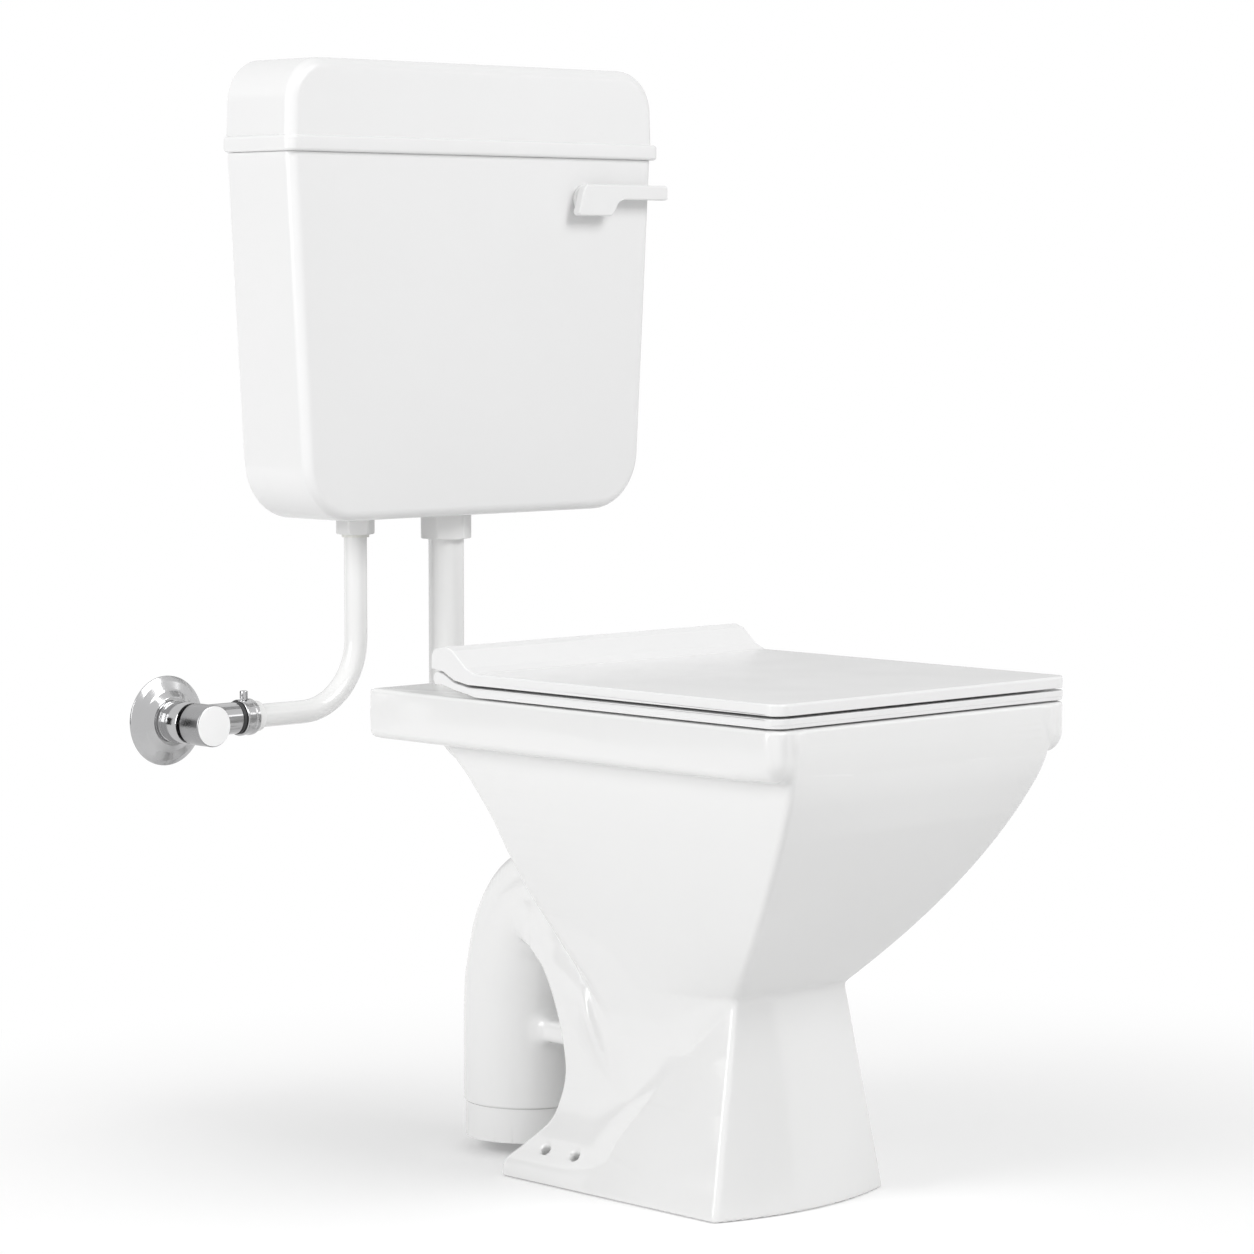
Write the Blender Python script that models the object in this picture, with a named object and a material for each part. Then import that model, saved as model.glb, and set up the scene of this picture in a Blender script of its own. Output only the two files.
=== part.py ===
"""Low-level toilet suite: an angular floor-standing pan with an S trap, a flat seat and lid, a wall-hung
cistern with its siphon and float valve, the flush and inlet pipes and a wall stop cock.

Lengths are metres, +Z is up and the wall is on the +Y side. Every y below is counted back from the front
face of the rim; the whole suite is then shifted so that the frame's origin lies on the underside of the foot.
"""

import math

import bpy
from mathutils import Matrix, Vector

# Clearances
GAP = 0.0003
RUN_GAP = 0.0005
OVERLAP = 0.002
CUT_PAST = 0.004

# Where the frame's origin lies on the foot
ORIGIN_BACK = 0.133

# Pan: rim slab
RIM_Z = 0.410
SLAB_HEIGHT = 0.0417
SLAB_HALF_WIDTH = 0.1708
SLAB_LENGTH = 0.4727
SLAB_CORNER = 0.006
SLAB_EDGE = 0.003

# Pan: bowl outside, from its top down to the shoulder on the pedestal
BOWL_TOP_Z = 0.3700
SHOULDER_Z = 0.174
SHOULDER_Y = 0.1466
SHOULDER_HALF_WIDTH = 0.065
BOWL_TOP_HALF_WIDTH = 0.1505
BOWL_WAIST_HALF_WIDTH = 0.085
FACE_TOP_Y = 0.0008
FACE_BULGE = 0.006
BOWL_REAR_POINTS = ((0.370, 0.413), (0.350, 0.395), (0.336, 0.385), (0.307, 0.370), (0.277, 0.361),
                    (0.234, 0.344), (0.199, 0.320), (0.174, 0.301), (0.150, 0.289), (0.110, 0.284))
BOWL_LOW_POINTS = ((0.174, 0.085), (0.150, 0.0785), (0.131, 0.0745), (0.110, 0.066))
BOWL_FOOT_Z = 0.110
CREASE_SLOPE_SHARE = 0.98
FRONT_EASE_SHARE = 0.58
WIDTH_EASE_SHARE = 0.42
SIDE_EASE_SHARE = 0.45
BULGE_SHARES = (0.0, 0.4, 0.8)
SIDE_SHARES = (0.2, 0.4, 0.65)
BULGE_RUN_SHARE = 0.25
RIDGE_RADIUS = 0.004
REAR_RADIUS = 0.015

# Pan: pedestal and the limb behind it
FOOT_FRONT_Y = 0.1358
FOOT_HALF_WIDTH = 0.0995
FOOT_BULGE = 0.019
PEDESTAL_TOP_Z = 0.176
LIMB_HALF_WIDTH = 0.0755
LIMB_REAR_POINTS = ((0.0, 0.390), (0.011, 0.387), (0.028, 0.374), (0.050, 0.352), (0.069, 0.343),
                    (0.086, 0.338), (0.103, 0.338), (0.135, 0.347), (0.163, 0.357), (0.176, 0.366))
PEDESTAL_RADIUS = 0.006
LIMB_RADIUS = 0.008

# Pan: trap outside, points of its middle line with half width and half thickness
TRAP_POINTS = ((0.2350, 0.101, 0.070, 0.048), (0.2840, 0.150, 0.076, 0.050), (0.3160, 0.184, 0.073, 0.050),
               (0.3500, 0.214, 0.067, 0.049), (0.3900, 0.228, 0.061, 0.047), (0.4250, 0.218, 0.057, 0.050),
               (0.4480, 0.193, 0.055, 0.053), (0.4590, 0.160, 0.0546, 0.0546),
               (0.4636, 0.125, 0.0546, 0.0546),
               (0.4636, 0.043, 0.0546, 0.0546))
OUTLET_Y = 0.4636
OUTLET_RING_Z = 0.043
OUTLET_RADIUS = 0.0533
OUTLET_Z = 0.012
STRUT_Y = (0.325, 0.425)
STRUT_Z = (0.101, 0.120)
STRUT_HALF_WIDTH = 0.011

# Pan: inside
RIM_HOLE_HALF_WIDTH = 0.118
RIM_HOLE_Y = (0.036, 0.306)
RIM_DEPTH = 0.034
BOWL_WALL = 0.012
FACE_WALL = 0.020
WELL_POINTS = ((0.360, 0.345, 0.136), (0.300, 0.330, 0.118), (0.250, 0.304, 0.099),
               (0.210, 0.275, 0.083), (0.174, 0.243, 0.069), (0.143, 0.236, 0.060), (0.110, 0.240, 0.052),
               (0.080, 0.238, 0.042), (0.067, 0.225, 0.024))
WELL_FRONT_Y = 0.172
WELL_POWER_SHARE = 0.80
WATERWAY_RADIUS = 0.036
WATERWAY_POINTS = ((0.2050, 0.106), (0.2350, 0.107), (0.2640, 0.128), (0.3000, 0.164), (0.3420, 0.204),
                   (0.3900, 0.229), (0.4320, 0.207), (0.4560, 0.165), (0.4636, 0.120), (0.4636, -0.010))
RECESS_HALF_WIDTH = 0.076
RECESS_Y = (0.150, 0.326)
RECESS_DEPTH = 0.043
FIXING_HOLE_RADIUS = 0.0045
FIXING_HOLE_Y = (0.309, 0.345)
FIXING_HOLE_X = 0.088
FIXING_HOLE_Z = 0.026
FIXING_HOLE_TILT = math.radians(42)
FIXING_HOLE_LENGTH = 0.070
HORN_Z = 0.340
HORN_RADIUS = 0.022
HORN_BORE = 0.0165
HORN_ROOT = 0.0877
HORN_REACH = 0.0173
HORN_BORE_ROOT = 0.1527

# Seat and lid
PLATE_HALF_WIDTH = 0.170
PLATE_EDGE = 0.0015
PLATE_FRONT_Y = -0.001
SEAT_BOTTOM_Z = 0.4133
SEAT_TOP_Z = 0.4200
LID_BOTTOM_Z = 0.4211
LID_TOP_Z = 0.4304
SEAT_UNDER_POINTS = ((0.350, SEAT_BOTTOM_Z), (0.367, 0.4160), (0.3815, 0.4193))
SEAT_OVER_POINTS = ((0.3800, 0.4284), (0.366, 0.4224), (0.349, SEAT_TOP_Z))
SEAT_NOSE_RADIUS = 0.006
SEAT_NOSE_START = math.radians(-55)
SEAT_NOSE_END = math.radians(75)
LID_REAR_POINTS = ((0.350, LID_BOTTOM_Z), (0.367, 0.4238), (0.3800, 0.4300), (0.3942, 0.4318),
                   (0.3942, 0.4412), (0.390, 0.4455), (0.369, 0.4507), (0.360, 0.4478), (0.344, 0.4348),
                   (0.334, LID_TOP_Z))
SEAT_HOLE_HALF_WIDTH = 0.110
SEAT_HOLE_Y = (0.042, 0.312)
HINGE_Y = 0.386
HINGE_Z = 0.424
HINGE_X = 0.0775
BARREL_RADIUS = 0.0055
PIN_RADIUS = 0.0025
LUG_X = (0.0725, 0.0824)
LID_BARREL_X = (0.0603, 0.0722)
SEAT_BARREL_X = (0.0827, 0.0975)
PIN_X = (0.0598, 0.0953)
LID_WEB_HALF = 0.0045
LID_WEB_TOP_Z = 0.434
SEAT_NOTCH_Y = 0.372
POST_Y = 0.388
POST_RADIUS = 0.017
POST_PLATE = 0.002
LUG_HALF_DEPTH = 0.0055
STUD_RADIUS = 0.003
STUD_LENGTH = 0.037
SLEEVE_RADIUS = 0.0075
SLEEVE_TOP_DROP = 0.001
SLEEVE_LENGTH = 0.034
SOCKET_DEPTH = 0.042
BUMPER_RADIUS = 0.007
SEAT_BUMPER_Y = (0.028, 0.330)
SEAT_BUMPER_X = 0.135
LID_BUMPER_Y = 0.022
LID_BUMPER_X = 0.145
LID_BUMPER_HEIGHT = 0.0025

# Cistern
TANK_BEHIND = 0.0493
TANK_DEPTH = 0.0835
TANK_WALL = 0.004
TANK_BOTTOM_Z = 0.546
TANK_HEIGHT = 0.3102
TANK_TOP_HALF_WIDTH = 0.210
TANK_BOTTOM_HALF_WIDTH = 0.1912
TANK_BOTTOM_RADIUS = 0.052
TANK_EDGE_RADIUS = 0.009
LID_BAND_OUT = 0.0045
LID_BAND_HEIGHT = 0.0135
LID_BAND_RADIUS = 0.003
COVER_OUT = 0.0015
COVER_FRONT_OUT = 0.001
COVER_HEIGHT = 0.0788
COVER_TOP_RADIUS = 0.037
COVER_EDGE_RADIUS = 0.010
COVER_TAPER = 0.003
COVER_WALL = 0.004
COVER_TAB_X = 0.110
COVER_TAB_HALF_WIDTH = 0.015
COVER_TAB_DEPTH = 0.010
COVER_TAB_THICK = 0.003
COVER_TAB_ROOM = 0.002
HANG_HOLE_X = 0.120
HANG_HOLE_DROP = 0.0712
HANG_HOLE_RADIUS = 0.005

# Flush lever
LEVER_X = 0.124
LEVER_DROP = 0.0362
LEVER_OUT = 0.0155
LEVER_THICK = 0.0085
LEVER_OUTLINE = ((-0.0100, 0.0136), (-0.0135, 0.0100), (-0.0200, -0.0115), (-0.0180, -0.0140),
                 (0.0200, -0.0140),
                 (0.0240, -0.0105), (0.0290, -0.0030), (0.0360, 0.0005), (0.0870, 0.0005), (0.0895, 0.0030),
                 (0.0895, 0.0112), (0.0870, 0.0136))
LEVER_EDGE = 0.0015
LEVER_BOSS_RADIUS = 0.009
SPINDLE_RADIUS = 0.004
SPINDLE_PAST = 0.009
BUSH_FLANGE_RADIUS = 0.0135
BUSH_FLANGE_THICK = 0.0042
BUSH_RADIUS = 0.009
BUSH_REACH = 0.018
LEVER_NUT_FLATS = 0.026
LEVER_NUT_THICK = 0.007
ARM_REST_ANGLE = math.radians(17.5)
ARM_LENGTH = 0.066
ARM_HALF_HEIGHT = 0.002
ARM_HALF_DEPTH = 0.0025
ARM_HUB_RADIUS = 0.009
ARM_HUB_HALF_DEPTH = 0.005

# Siphon and plunger
SIPHON_DEPTH_SHARE = 0.539
SIPHON_WALL = 0.0025
CHAMBER_X = 0.0665
CHAMBER_RADIUS_SHARE = 0.36
CHAMBER_RISE = 0.012
CHAMBER_HEIGHT = 0.082
CHAMBER_TOP = 0.003
RISER_X = 0.048
RISER_RADIUS = 0.013
RISER_RISE = 0.166
TAIL_RADIUS = 0.0175
TAIL_BORE = 0.0158
TAIL_DROP = 0.0195
SIPHON_FLANGE_RADIUS = 0.026
WASHER_THICK = 0.0024
FLANGE_THICK = 0.004
FLUSH_NUT_FLATS = 0.040
FLUSH_NUT_DROP = 0.022
NUT_LIP = 0.0022
DISC_THICK = 0.003
DISC_RISE = 0.005
DISC_HOLE_RADIUS = 0.005
DISC_HOLE_OUT = 0.016
FLAP_RADIUS = 0.023
FLAP_THICK = 0.0012
ROD_RADIUS = 0.0025
ROD_TOP_DROP = 0.0265
LINK_HALF_THICK = 0.0015
LINK_HALF_WIDTH = 0.008
LINK_TOP_DROP = 0.0075
LINK_HUB_RADIUS = 0.006
LINK_HUB_DROP = 0.036
LINK_HUB_HEIGHT = 0.012
LINK_SLOT_HALF_HEIGHT = 0.0034
LINK_SLOT_HALF_WIDTH = 0.0034

# Float valve
VALVE_X = -0.093
VALVE_DEPTH_SHARE = 0.6946
SHANK_RADIUS = 0.012
SHANK_BORE = 0.0102
SHANK_DROP = 0.0175
VALVE_FLANGE_RADIUS = 0.018
VALVE_NUT_FLATS = 0.030
VALVE_NUT_DROP = 0.015
STANDPIPE_RADIUS = 0.011
STANDPIPE_BORE = 0.008
HEAD_RADIUS = 0.015
HEAD_DROP = 0.1212
HEAD_HEIGHT = 0.033
JET_BORE = 0.003
JET_RISE = 0.006
PISTON_BORE = 0.0043
PISTON_BORE_RISE = 0.0105
PORT_RADIUS = 0.0025
PORT_RISE = 0.013
PISTON_RADIUS = 0.004
PISTON_RISE = 0.0175
PISTON_LENGTH = 0.0195
PISTON_TIP_RADIUS = 0.0015
PIVOT_OUT = 0.008
PIVOT_RISE = 0.043
FLOAT_PIN_RADIUS = 0.002
FLOAT_PIN_HALF_LENGTH = 0.008
FLOAT_ARM_HALF_DEPTH = 0.003
FLOAT_ARM_HALF_HEIGHT = 0.0022
FLOAT_ARM_LENGTH = 0.074
FLOAT_NOSE = 0.008
FLOAT_HUB_RADIUS = 0.005
FLOAT_REST_ANGLE = math.radians(25)
FORK_THICK = 0.003
FORK_HALF_WIDTH = 0.0045
FORK_RISE = 0.0475
FLOAT_OUT = 0.062
FLOAT_RADIUS_SHARE = 0.2395
FLOAT_DROP = 0.009
FLOAT_HEIGHT = 0.044
FLOAT_WALL = 0.002
FLOAT_LUG_HALF = 0.0065

# Pipes
FLUSH_PIPE_RADIUS = 0.0155
FLUSH_PIPE_WALL = 0.002
FLUSH_PIPE_DROP = 0.005
FLUSH_BEND = 0.045
FLUSH_PIPE_IN = 0.022
CONE_GRIP = 0.020
CONE_STEP = 0.0005
CONE_TAPER = 0.0105
CONE_NECK = 0.011
CONE_WALL = 0.003
INLET_PIPE_RADIUS = 0.0099
INLET_PIPE_WALL = 0.0015
INLET_PIPE_DROP = 0.006
INLET_BEND = 0.060

# Stop cock
COCK_X = -0.281
COCK_Z = 0.381
COCK_FLANGE_RADIUS = 0.0378
COCK_FLANGE_RIM = 0.0035
COCK_FLANGE_STEP = 0.0045
COCK_NECK_RADIUS = 0.0215
COCK_FLANGE_DEPTH = 0.011
COCK_RADIUS = 0.0175
COCK_BORE = 0.0080
COCK_GROOVE_OUT = 0.0145
COCK_GROOVE_HALF = 0.0007
COCK_GROOVE_DEPTH = 0.0010
COCK_SEAM_OUT = 0.0405
KNOB_LENGTH = 0.0255
KNOB_EDGE = 0.0015
KNOB_STEM_RADIUS = 0.0050
KNOB_STEM_LENGTH = 0.010
COCK_OUTLET_REACH = 0.0530
COCK_OUTLET_RADIUS = 0.0135
SEAL_LENGTH = 0.0035
SEAL_RADIUS = 0.0140
CLAMP_LENGTH = 0.0140
CLAMP_RADIUS = 0.0155
COLLAR_LENGTH = 0.0085
COLLAR_RADIUS = 0.0130
CLAMP_SCREW_RADIUS = 0.0020
CLAMP_SCREW_HEAD = 0.0035
CLAMP_SCREW_LENGTH = 0.007
COCK_PIPE_DEPTH = 0.0050

# Places that follow from the sizes above
HORN_START_Y = SLAB_LENGTH - HORN_ROOT
HORN_END_Y = SLAB_LENGTH + HORN_REACH
TANK_FRONT_Y = SLAB_LENGTH + TANK_BEHIND
WALL_Y = TANK_FRONT_Y + TANK_DEPTH
TANK_TOP_Z = TANK_BOTTOM_Z + TANK_HEIGHT
COVER_TOP_Z = TANK_TOP_Z + COVER_HEIGHT
COVER_HALF_WIDTH = TANK_TOP_HALF_WIDTH + COVER_OUT
LID_BAND_HALF_WIDTH = TANK_TOP_HALF_WIDTH + LID_BAND_OUT
HANG_HOLE_Z = TANK_TOP_Z - HANG_HOLE_DROP
LEVER_Z = TANK_TOP_Z - LEVER_DROP
LEVER_FRONT_Y = TANK_FRONT_Y - LEVER_OUT
LEVER_BOSS_END_Y = TANK_FRONT_Y - GAP - BUSH_FLANGE_THICK - GAP
BUSH_END_Y = TANK_FRONT_Y + BUSH_REACH
SIPHON_Y = TANK_FRONT_Y + TANK_DEPTH * SIPHON_DEPTH_SHARE
SPINDLE_END_Y = SIPHON_Y + SPINDLE_PAST
CHAMBER_RADIUS = TANK_DEPTH * CHAMBER_RADIUS_SHARE
CHAMBER_LOW_Z = TANK_BOTTOM_Z + CHAMBER_RISE
CHAMBER_TOP_Z = CHAMBER_LOW_Z + CHAMBER_HEIGHT
RISER_TOP_Z = TANK_BOTTOM_Z + RISER_RISE
TAIL_END_Z = TANK_BOTTOM_Z - TAIL_DROP
FLUSH_NUT_Z = TANK_BOTTOM_Z - FLUSH_NUT_DROP
DISC_Z = CHAMBER_LOW_Z + DISC_RISE
ROD_TOP_Z = LEVER_Z - ROD_TOP_DROP
LINK_TOP_Z = LEVER_Z - LINK_TOP_DROP
LINK_HUB_LOW_Z = LEVER_Z - LINK_HUB_DROP
LINK_HUB_TOP_Z = LINK_HUB_LOW_Z + LINK_HUB_HEIGHT
VALVE_Y = TANK_FRONT_Y + TANK_DEPTH * VALVE_DEPTH_SHARE
SHANK_END_Z = TANK_BOTTOM_Z - SHANK_DROP
VALVE_NUT_Z = TANK_BOTTOM_Z - VALVE_NUT_DROP
HEAD_LOW_Z = TANK_TOP_Z - HEAD_DROP
HEAD_TOP_Z = HEAD_LOW_Z + HEAD_HEIGHT
JET_Z = HEAD_LOW_Z + JET_RISE
PISTON_BORE_Z = HEAD_LOW_Z + PISTON_BORE_RISE
PORT_Z = HEAD_LOW_Z + PORT_RISE
PISTON_LOW_Z = HEAD_LOW_Z + PISTON_RISE
PISTON_TOP_Z = PISTON_LOW_Z + PISTON_LENGTH
PIVOT_X = VALVE_X - PIVOT_OUT
PIVOT_Z = HEAD_LOW_Z + PIVOT_RISE
FORK_TOP_Z = HEAD_LOW_Z + FORK_RISE
FLOAT_RADIUS = TANK_DEPTH * FLOAT_RADIUS_SHARE
FLUSH_PIPE_TOP_Z = TANK_BOTTOM_Z - FLUSH_PIPE_DROP
FLUSH_PIPE_END_Y = HORN_END_Y - FLUSH_PIPE_IN
CONE_START_Y = HORN_END_Y - CONE_GRIP
CONE_STEP_Y = HORN_END_Y + CONE_STEP
CONE_NECK_Y = CONE_STEP_Y + CONE_TAPER
CONE_END_Y = CONE_NECK_Y + CONE_NECK
INLET_PIPE_TOP_Z = TANK_BOTTOM_Z - INLET_PIPE_DROP
COCK_GROOVE_Y = WALL_Y - COCK_GROOVE_OUT
COCK_SEAM_Y = WALL_Y - COCK_SEAM_OUT
KNOB_END_Y = COCK_SEAM_Y - KNOB_LENGTH
COCK_OUTLET_X = COCK_X + COCK_OUTLET_REACH
SEAL_X = COCK_OUTLET_X + SEAL_LENGTH
CLAMP_X = SEAL_X + CLAMP_LENGTH
COLLAR_X = CLAMP_X + COLLAR_LENGTH
COCK_PIPE_END_X = COCK_OUTLET_X - COCK_PIPE_DEPTH

# Roundness
FINE_STEPS = 32
STEPS = 20
FEW_STEPS = 12
BEND_STEPS = 6
SOLVER = "EXACT"
SMOOTH_ANGLE = math.radians(35)

AXIS_TURN = {
    "X": Matrix(((0, 0, 1), (1, 0, 0), (0, 1, 0))),
    "Y": Matrix(((0, 1, 0), (0, 0, 1), (1, 0, 0))),
    "Z": Matrix(((1, 0, 0), (0, 1, 0), (0, 0, 1))),
}


def clear_scene():
    for obj in list(bpy.data.objects):
        bpy.data.objects.remove(obj, do_unlink=True)


def material(name, colour, roughness, metallic):
    made = bpy.data.materials.new(name)
    made.use_nodes = True
    shader = made.node_tree.nodes["Principled BSDF"]
    shader.inputs["Base Color"].default_value = (*colour, 1.0)
    shader.inputs["Roughness"].default_value = roughness
    shader.inputs["Metallic"].default_value = metallic
    made.diffuse_color = (*colour, 1.0)
    return made


# Meshes


def add_mesh(name, points, faces, finish, origin=(0.0, 0.0, 0.0)):
    """One object whose own origin is the given point, shifted with the rest of the suite."""
    base = Vector(origin)
    mesh = bpy.data.meshes.new(name)
    mesh.from_pydata([Vector(point) - base for point in points], [], faces)
    mesh.materials.append(finish)
    mesh.update()
    obj = bpy.data.objects.new(name, mesh)
    obj.location = base - Vector((0.0, ORIGIN_BACK, 0.0))
    bpy.context.scene.collection.objects.link(obj)
    return obj


def loft_mesh(rings):
    """A closed skin over rings of equally many points, each ring counter-clockwise seen from the far end."""
    count = len(rings[0])
    points = [point for ring in rings for point in ring]
    faces = []
    for level in range(len(rings) - 1):
        low = level * count
        high = low + count
        for step in range(count):
            nxt = (step + 1) % count
            faces.append((low + step, low + nxt, high + nxt, high + step))
    faces.append(tuple(reversed(range(count))))
    last = (len(rings) - 1) * count
    faces.append(tuple(range(last, last + count)))
    return points, faces


def tube_mesh(outer_rings, inner_rings):
    """A closed skin between an outer and an inner loft, open along the middle."""
    count = len(outer_rings[0])
    loop = outer_rings + list(reversed(inner_rings))
    points = [point for ring in loop for point in ring]
    faces = []
    for level in range(len(loop)):
        low = level * count
        high = ((level + 1) % len(loop)) * count
        for step in range(count):
            nxt = (step + 1) % count
            faces.append((low + step, low + nxt, high + nxt, high + step))
    return points, faces


def turned_mesh(profile, steps, axis, centre, closed):
    """Turns (radius, height) pairs about an axis; a closed profile makes a ring, an open one a solid."""
    turn = AXIS_TURN[axis]
    middle = Vector(centre)
    rings = []
    for radius, height in profile:
        ring = []
        for step in range(steps):
            angle = math.tau * step / steps
            spoke = Vector((radius * math.cos(angle), radius * math.sin(angle), height))
            ring.append(middle + turn @ spoke)
        rings.append(ring)
    if not closed:
        return loft_mesh(rings)
    points = [point for ring in rings for point in ring]
    faces = []
    for level in range(len(rings)):
        low = level * steps
        high = ((level + 1) % len(rings)) * steps
        for step in range(steps):
            nxt = (step + 1) % steps
            faces.append((low + step, low + nxt, high + nxt, high + step))
    return points, faces


def turned(name, profile, finish, axis="Z", centre=(0.0, 0.0, 0.0), steps=STEPS, closed=False, origin=None):
    points, faces = turned_mesh(profile, steps, axis, centre, closed)
    return add_mesh(name, points, faces, finish, origin or centre)


def ring_of(name, inner, outer, low, high, finish, axis="Z", centre=(0.0, 0.0, 0.0), steps=STEPS):
    """A plain ring between two radii and two heights along its axis."""
    profile = ((inner, low), (outer, low), (outer, high), (inner, high))
    return turned(name, profile, finish, axis, centre, steps, True)


def prism(name, outline, axis, low, high, finish, origin=(0.0, 0.0, 0.0)):
    """Extrudes an outline: (x, y) along Z, (y, z) along X or (z, x) along Y, counter-clockwise."""
    turn = AXIS_TURN[axis]
    rings = [[turn @ Vector((*pair, level)) for pair in outline] for level in (low, high)]
    points, faces = loft_mesh(rings)
    return add_mesh(name, points, faces, finish, origin)


def box(name, low, high, finish, origin=(0.0, 0.0, 0.0)):
    outline = ((low[0], low[1]), (high[0], low[1]), (high[0], high[1]), (low[0], high[1]))
    return prism(name, outline, "Z", low[2], high[2], finish, origin)


def rounded(corners, steps=3):
    """Replaces each (a, b, radius) corner of an outline by an arc of that radius."""
    outline = []
    count = len(corners)
    for index, (a, b, radius) in enumerate(corners):
        here = Vector((a, b))
        before = Vector(corners[index - 1][:2]) - here
        after = Vector(corners[(index + 1) % count][:2]) - here
        if radius == 0:
            outline.append((a, b))
            continue
        before.normalize()
        after.normalize()
        half = before.angle(after) / 2
        reach = radius / math.tan(half)
        centre = here + (before + after).normalized() * (radius / math.sin(half))
        start = here + before * reach - centre
        end = here + after * reach - centre
        sweep = start.angle_signed(end)
        for step in range(steps + 1):
            angle = -sweep * step / steps
            spoke = Matrix.Rotation(angle, 2) @ start
            outline.append(tuple(centre + spoke))
    return outline


def hexagon(flats, centre):
    corner = flats / math.sqrt(3)
    outline = []
    for step in range(6):
        angle = math.tau * step / 6
        outline.append((centre[0] + corner * math.cos(angle), centre[1] + corner * math.sin(angle)))
    return outline


def curve_value(points, at):
    """Smooth value of the second column where the first column equals the given number."""
    rows = sorted(points)
    if at <= rows[0][0]:
        return rows[0][1]
    if at >= rows[-1][0]:
        return rows[-1][1]
    slopes = []
    for index in range(len(rows)):
        low = rows[max(index - 1, 0)]
        high = rows[min(index + 1, len(rows) - 1)]
        slopes.append((high[1] - low[1]) / (high[0] - low[0]))
    for index in range(len(rows) - 1):
        left, right = rows[index], rows[index + 1]
        if at <= right[0]:
            width = right[0] - left[0]
            share = (at - left[0]) / width
            keep = (1 + 2 * share) * (1 - share) ** 2
            lift = share * (1 - share) ** 2
            take = share ** 2 * (3 - 2 * share)
            drop = share ** 2 * (share - 1)
            bent = width * (lift * slopes[index] + drop * slopes[index + 1])
            return keep * left[1] + take * right[1] + bent
    return rows[-1][1]


def smooth_path(points, steps):
    """Points of a Catmull-Rom curve through the given rows, of any number of columns."""
    rows = [Vector(row) for row in points]
    path = []
    for index in range(len(rows) - 1):
        before = rows[max(index - 1, 0)]
        start = rows[index]
        end = rows[index + 1]
        after = rows[min(index + 2, len(rows) - 1)]
        for step in range(steps):
            share = step / steps
            square = share * share
            cube = square * share
            first = (end - before) * share
            second = (2 * before - 5 * start + 4 * end - after) * square
            third = (3 * start - before - 3 * end + after) * cube
            path.append(0.5 * (2 * start + first + second + third))
    path.append(rows[-1])
    return path


def sweep_rings(path, normal, widths, thicks, steps):
    """Rings across a flat path; widths lie along the path's normal, thicks in its plane."""
    across = Vector(normal)
    rings = []
    for index, point in enumerate(path):
        ahead = path[min(index + 1, len(path) - 1)] - path[max(index - 1, 0)]
        inward = ahead.normalized().cross(across)
        ring = []
        for step in range(steps):
            angle = math.tau * step / steps
            sideways = across * (widths[index] * math.cos(angle))
            ring.append(point + sideways - inward * (thicks[index] * math.sin(angle)))
        rings.append(ring)
    return rings


def pipe(name, path, normal, radius, wall, finish, steps=STEPS, origin=None):
    wide = [radius] * len(path)
    narrow = [radius - wall] * len(path)
    outer = sweep_rings(path, normal, wide, wide, steps)
    inner = sweep_rings(path, normal, narrow, narrow, steps)
    points, faces = tube_mesh(outer, inner)
    return add_mesh(name, points, faces, finish, origin or path[0])


def bend(centre, radius, start, end, plane_x, plane_y, steps=BEND_STEPS):
    """Arc about a centre, from one angle to another in the plane of two directions."""
    arc = []
    for step in range(steps + 1):
        angle = start + (end - start) * step / steps
        sideways = Vector(plane_x) * (radius * math.cos(angle))
        upwards = Vector(plane_y) * (radius * math.sin(angle))
        arc.append(Vector(centre) + sideways + upwards)
    return arc


# Changes to meshes


def face_outward(obj):
    """Turns a mesh the right way out when its signed volume is negative."""
    mesh = obj.data
    mesh.calc_loop_triangles()
    volume = 0.0
    for triangle in mesh.loop_triangles:
        a, b, c = (mesh.vertices[index].co for index in triangle.vertices)
        volume += a.dot(b.cross(c))
    if volume < 0:
        mesh.flip_normals()
    return obj


def combine(obj, others, operation):
    """Adds one Boolean per other object, which then stays in the scene as an undrawn guide."""
    face_outward(obj)
    for other in others:
        face_outward(other)
        other.hide_render = True
        other.display_type = "WIRE"
        step = obj.modifiers.new(operation.title() + " " + other.name, "BOOLEAN")
        step.operation = operation
        step.solver = SOLVER
        step.object = other
    return obj


def join(obj, *others):
    return combine(obj, others, "UNION")


def cut(obj, *others):
    return combine(obj, others, "DIFFERENCE")


def soften(obj, width, segments=2, angle=math.radians(40)):
    step = obj.modifiers.new("Edges", "BEVEL")
    step.width = width
    step.segments = segments
    step.limit_method = "ANGLE"
    step.angle_limit = angle
    step.use_clamp_overlap = True
    return obj


def rod(name, start, end, radius, finish, steps=FEW_STEPS):
    """A round bar between two points."""
    along = Vector(end) - Vector(start)
    turn = along.to_track_quat("Z", "Y").to_matrix()
    rings = []
    for height in (0.0, along.length):
        ring = []
        for step in range(steps):
            angle = math.tau * step / steps
            spoke = Vector((radius * math.cos(angle), radius * math.sin(angle), height))
            ring.append(Vector(start) + turn @ spoke)
        rings.append(ring)
    points, faces = loft_mesh(rings)
    return add_mesh(name, points, faces, finish)


def turn_about(obj, pivot, axis, angle):
    """Turns the mesh itself about a point, given in the same frame as the sizes above."""
    base = Vector(pivot) - Vector((0.0, ORIGIN_BACK, 0.0)) - obj.location
    obj.data.transform(Matrix.Translation(base) @ Matrix.Rotation(angle, 4, axis) @ Matrix.Translation(-base))
    return obj


# Pan


def down_share(z):
    return (BOWL_TOP_Z - z) / (BOWL_TOP_Z - SHOULDER_Z)


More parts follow.
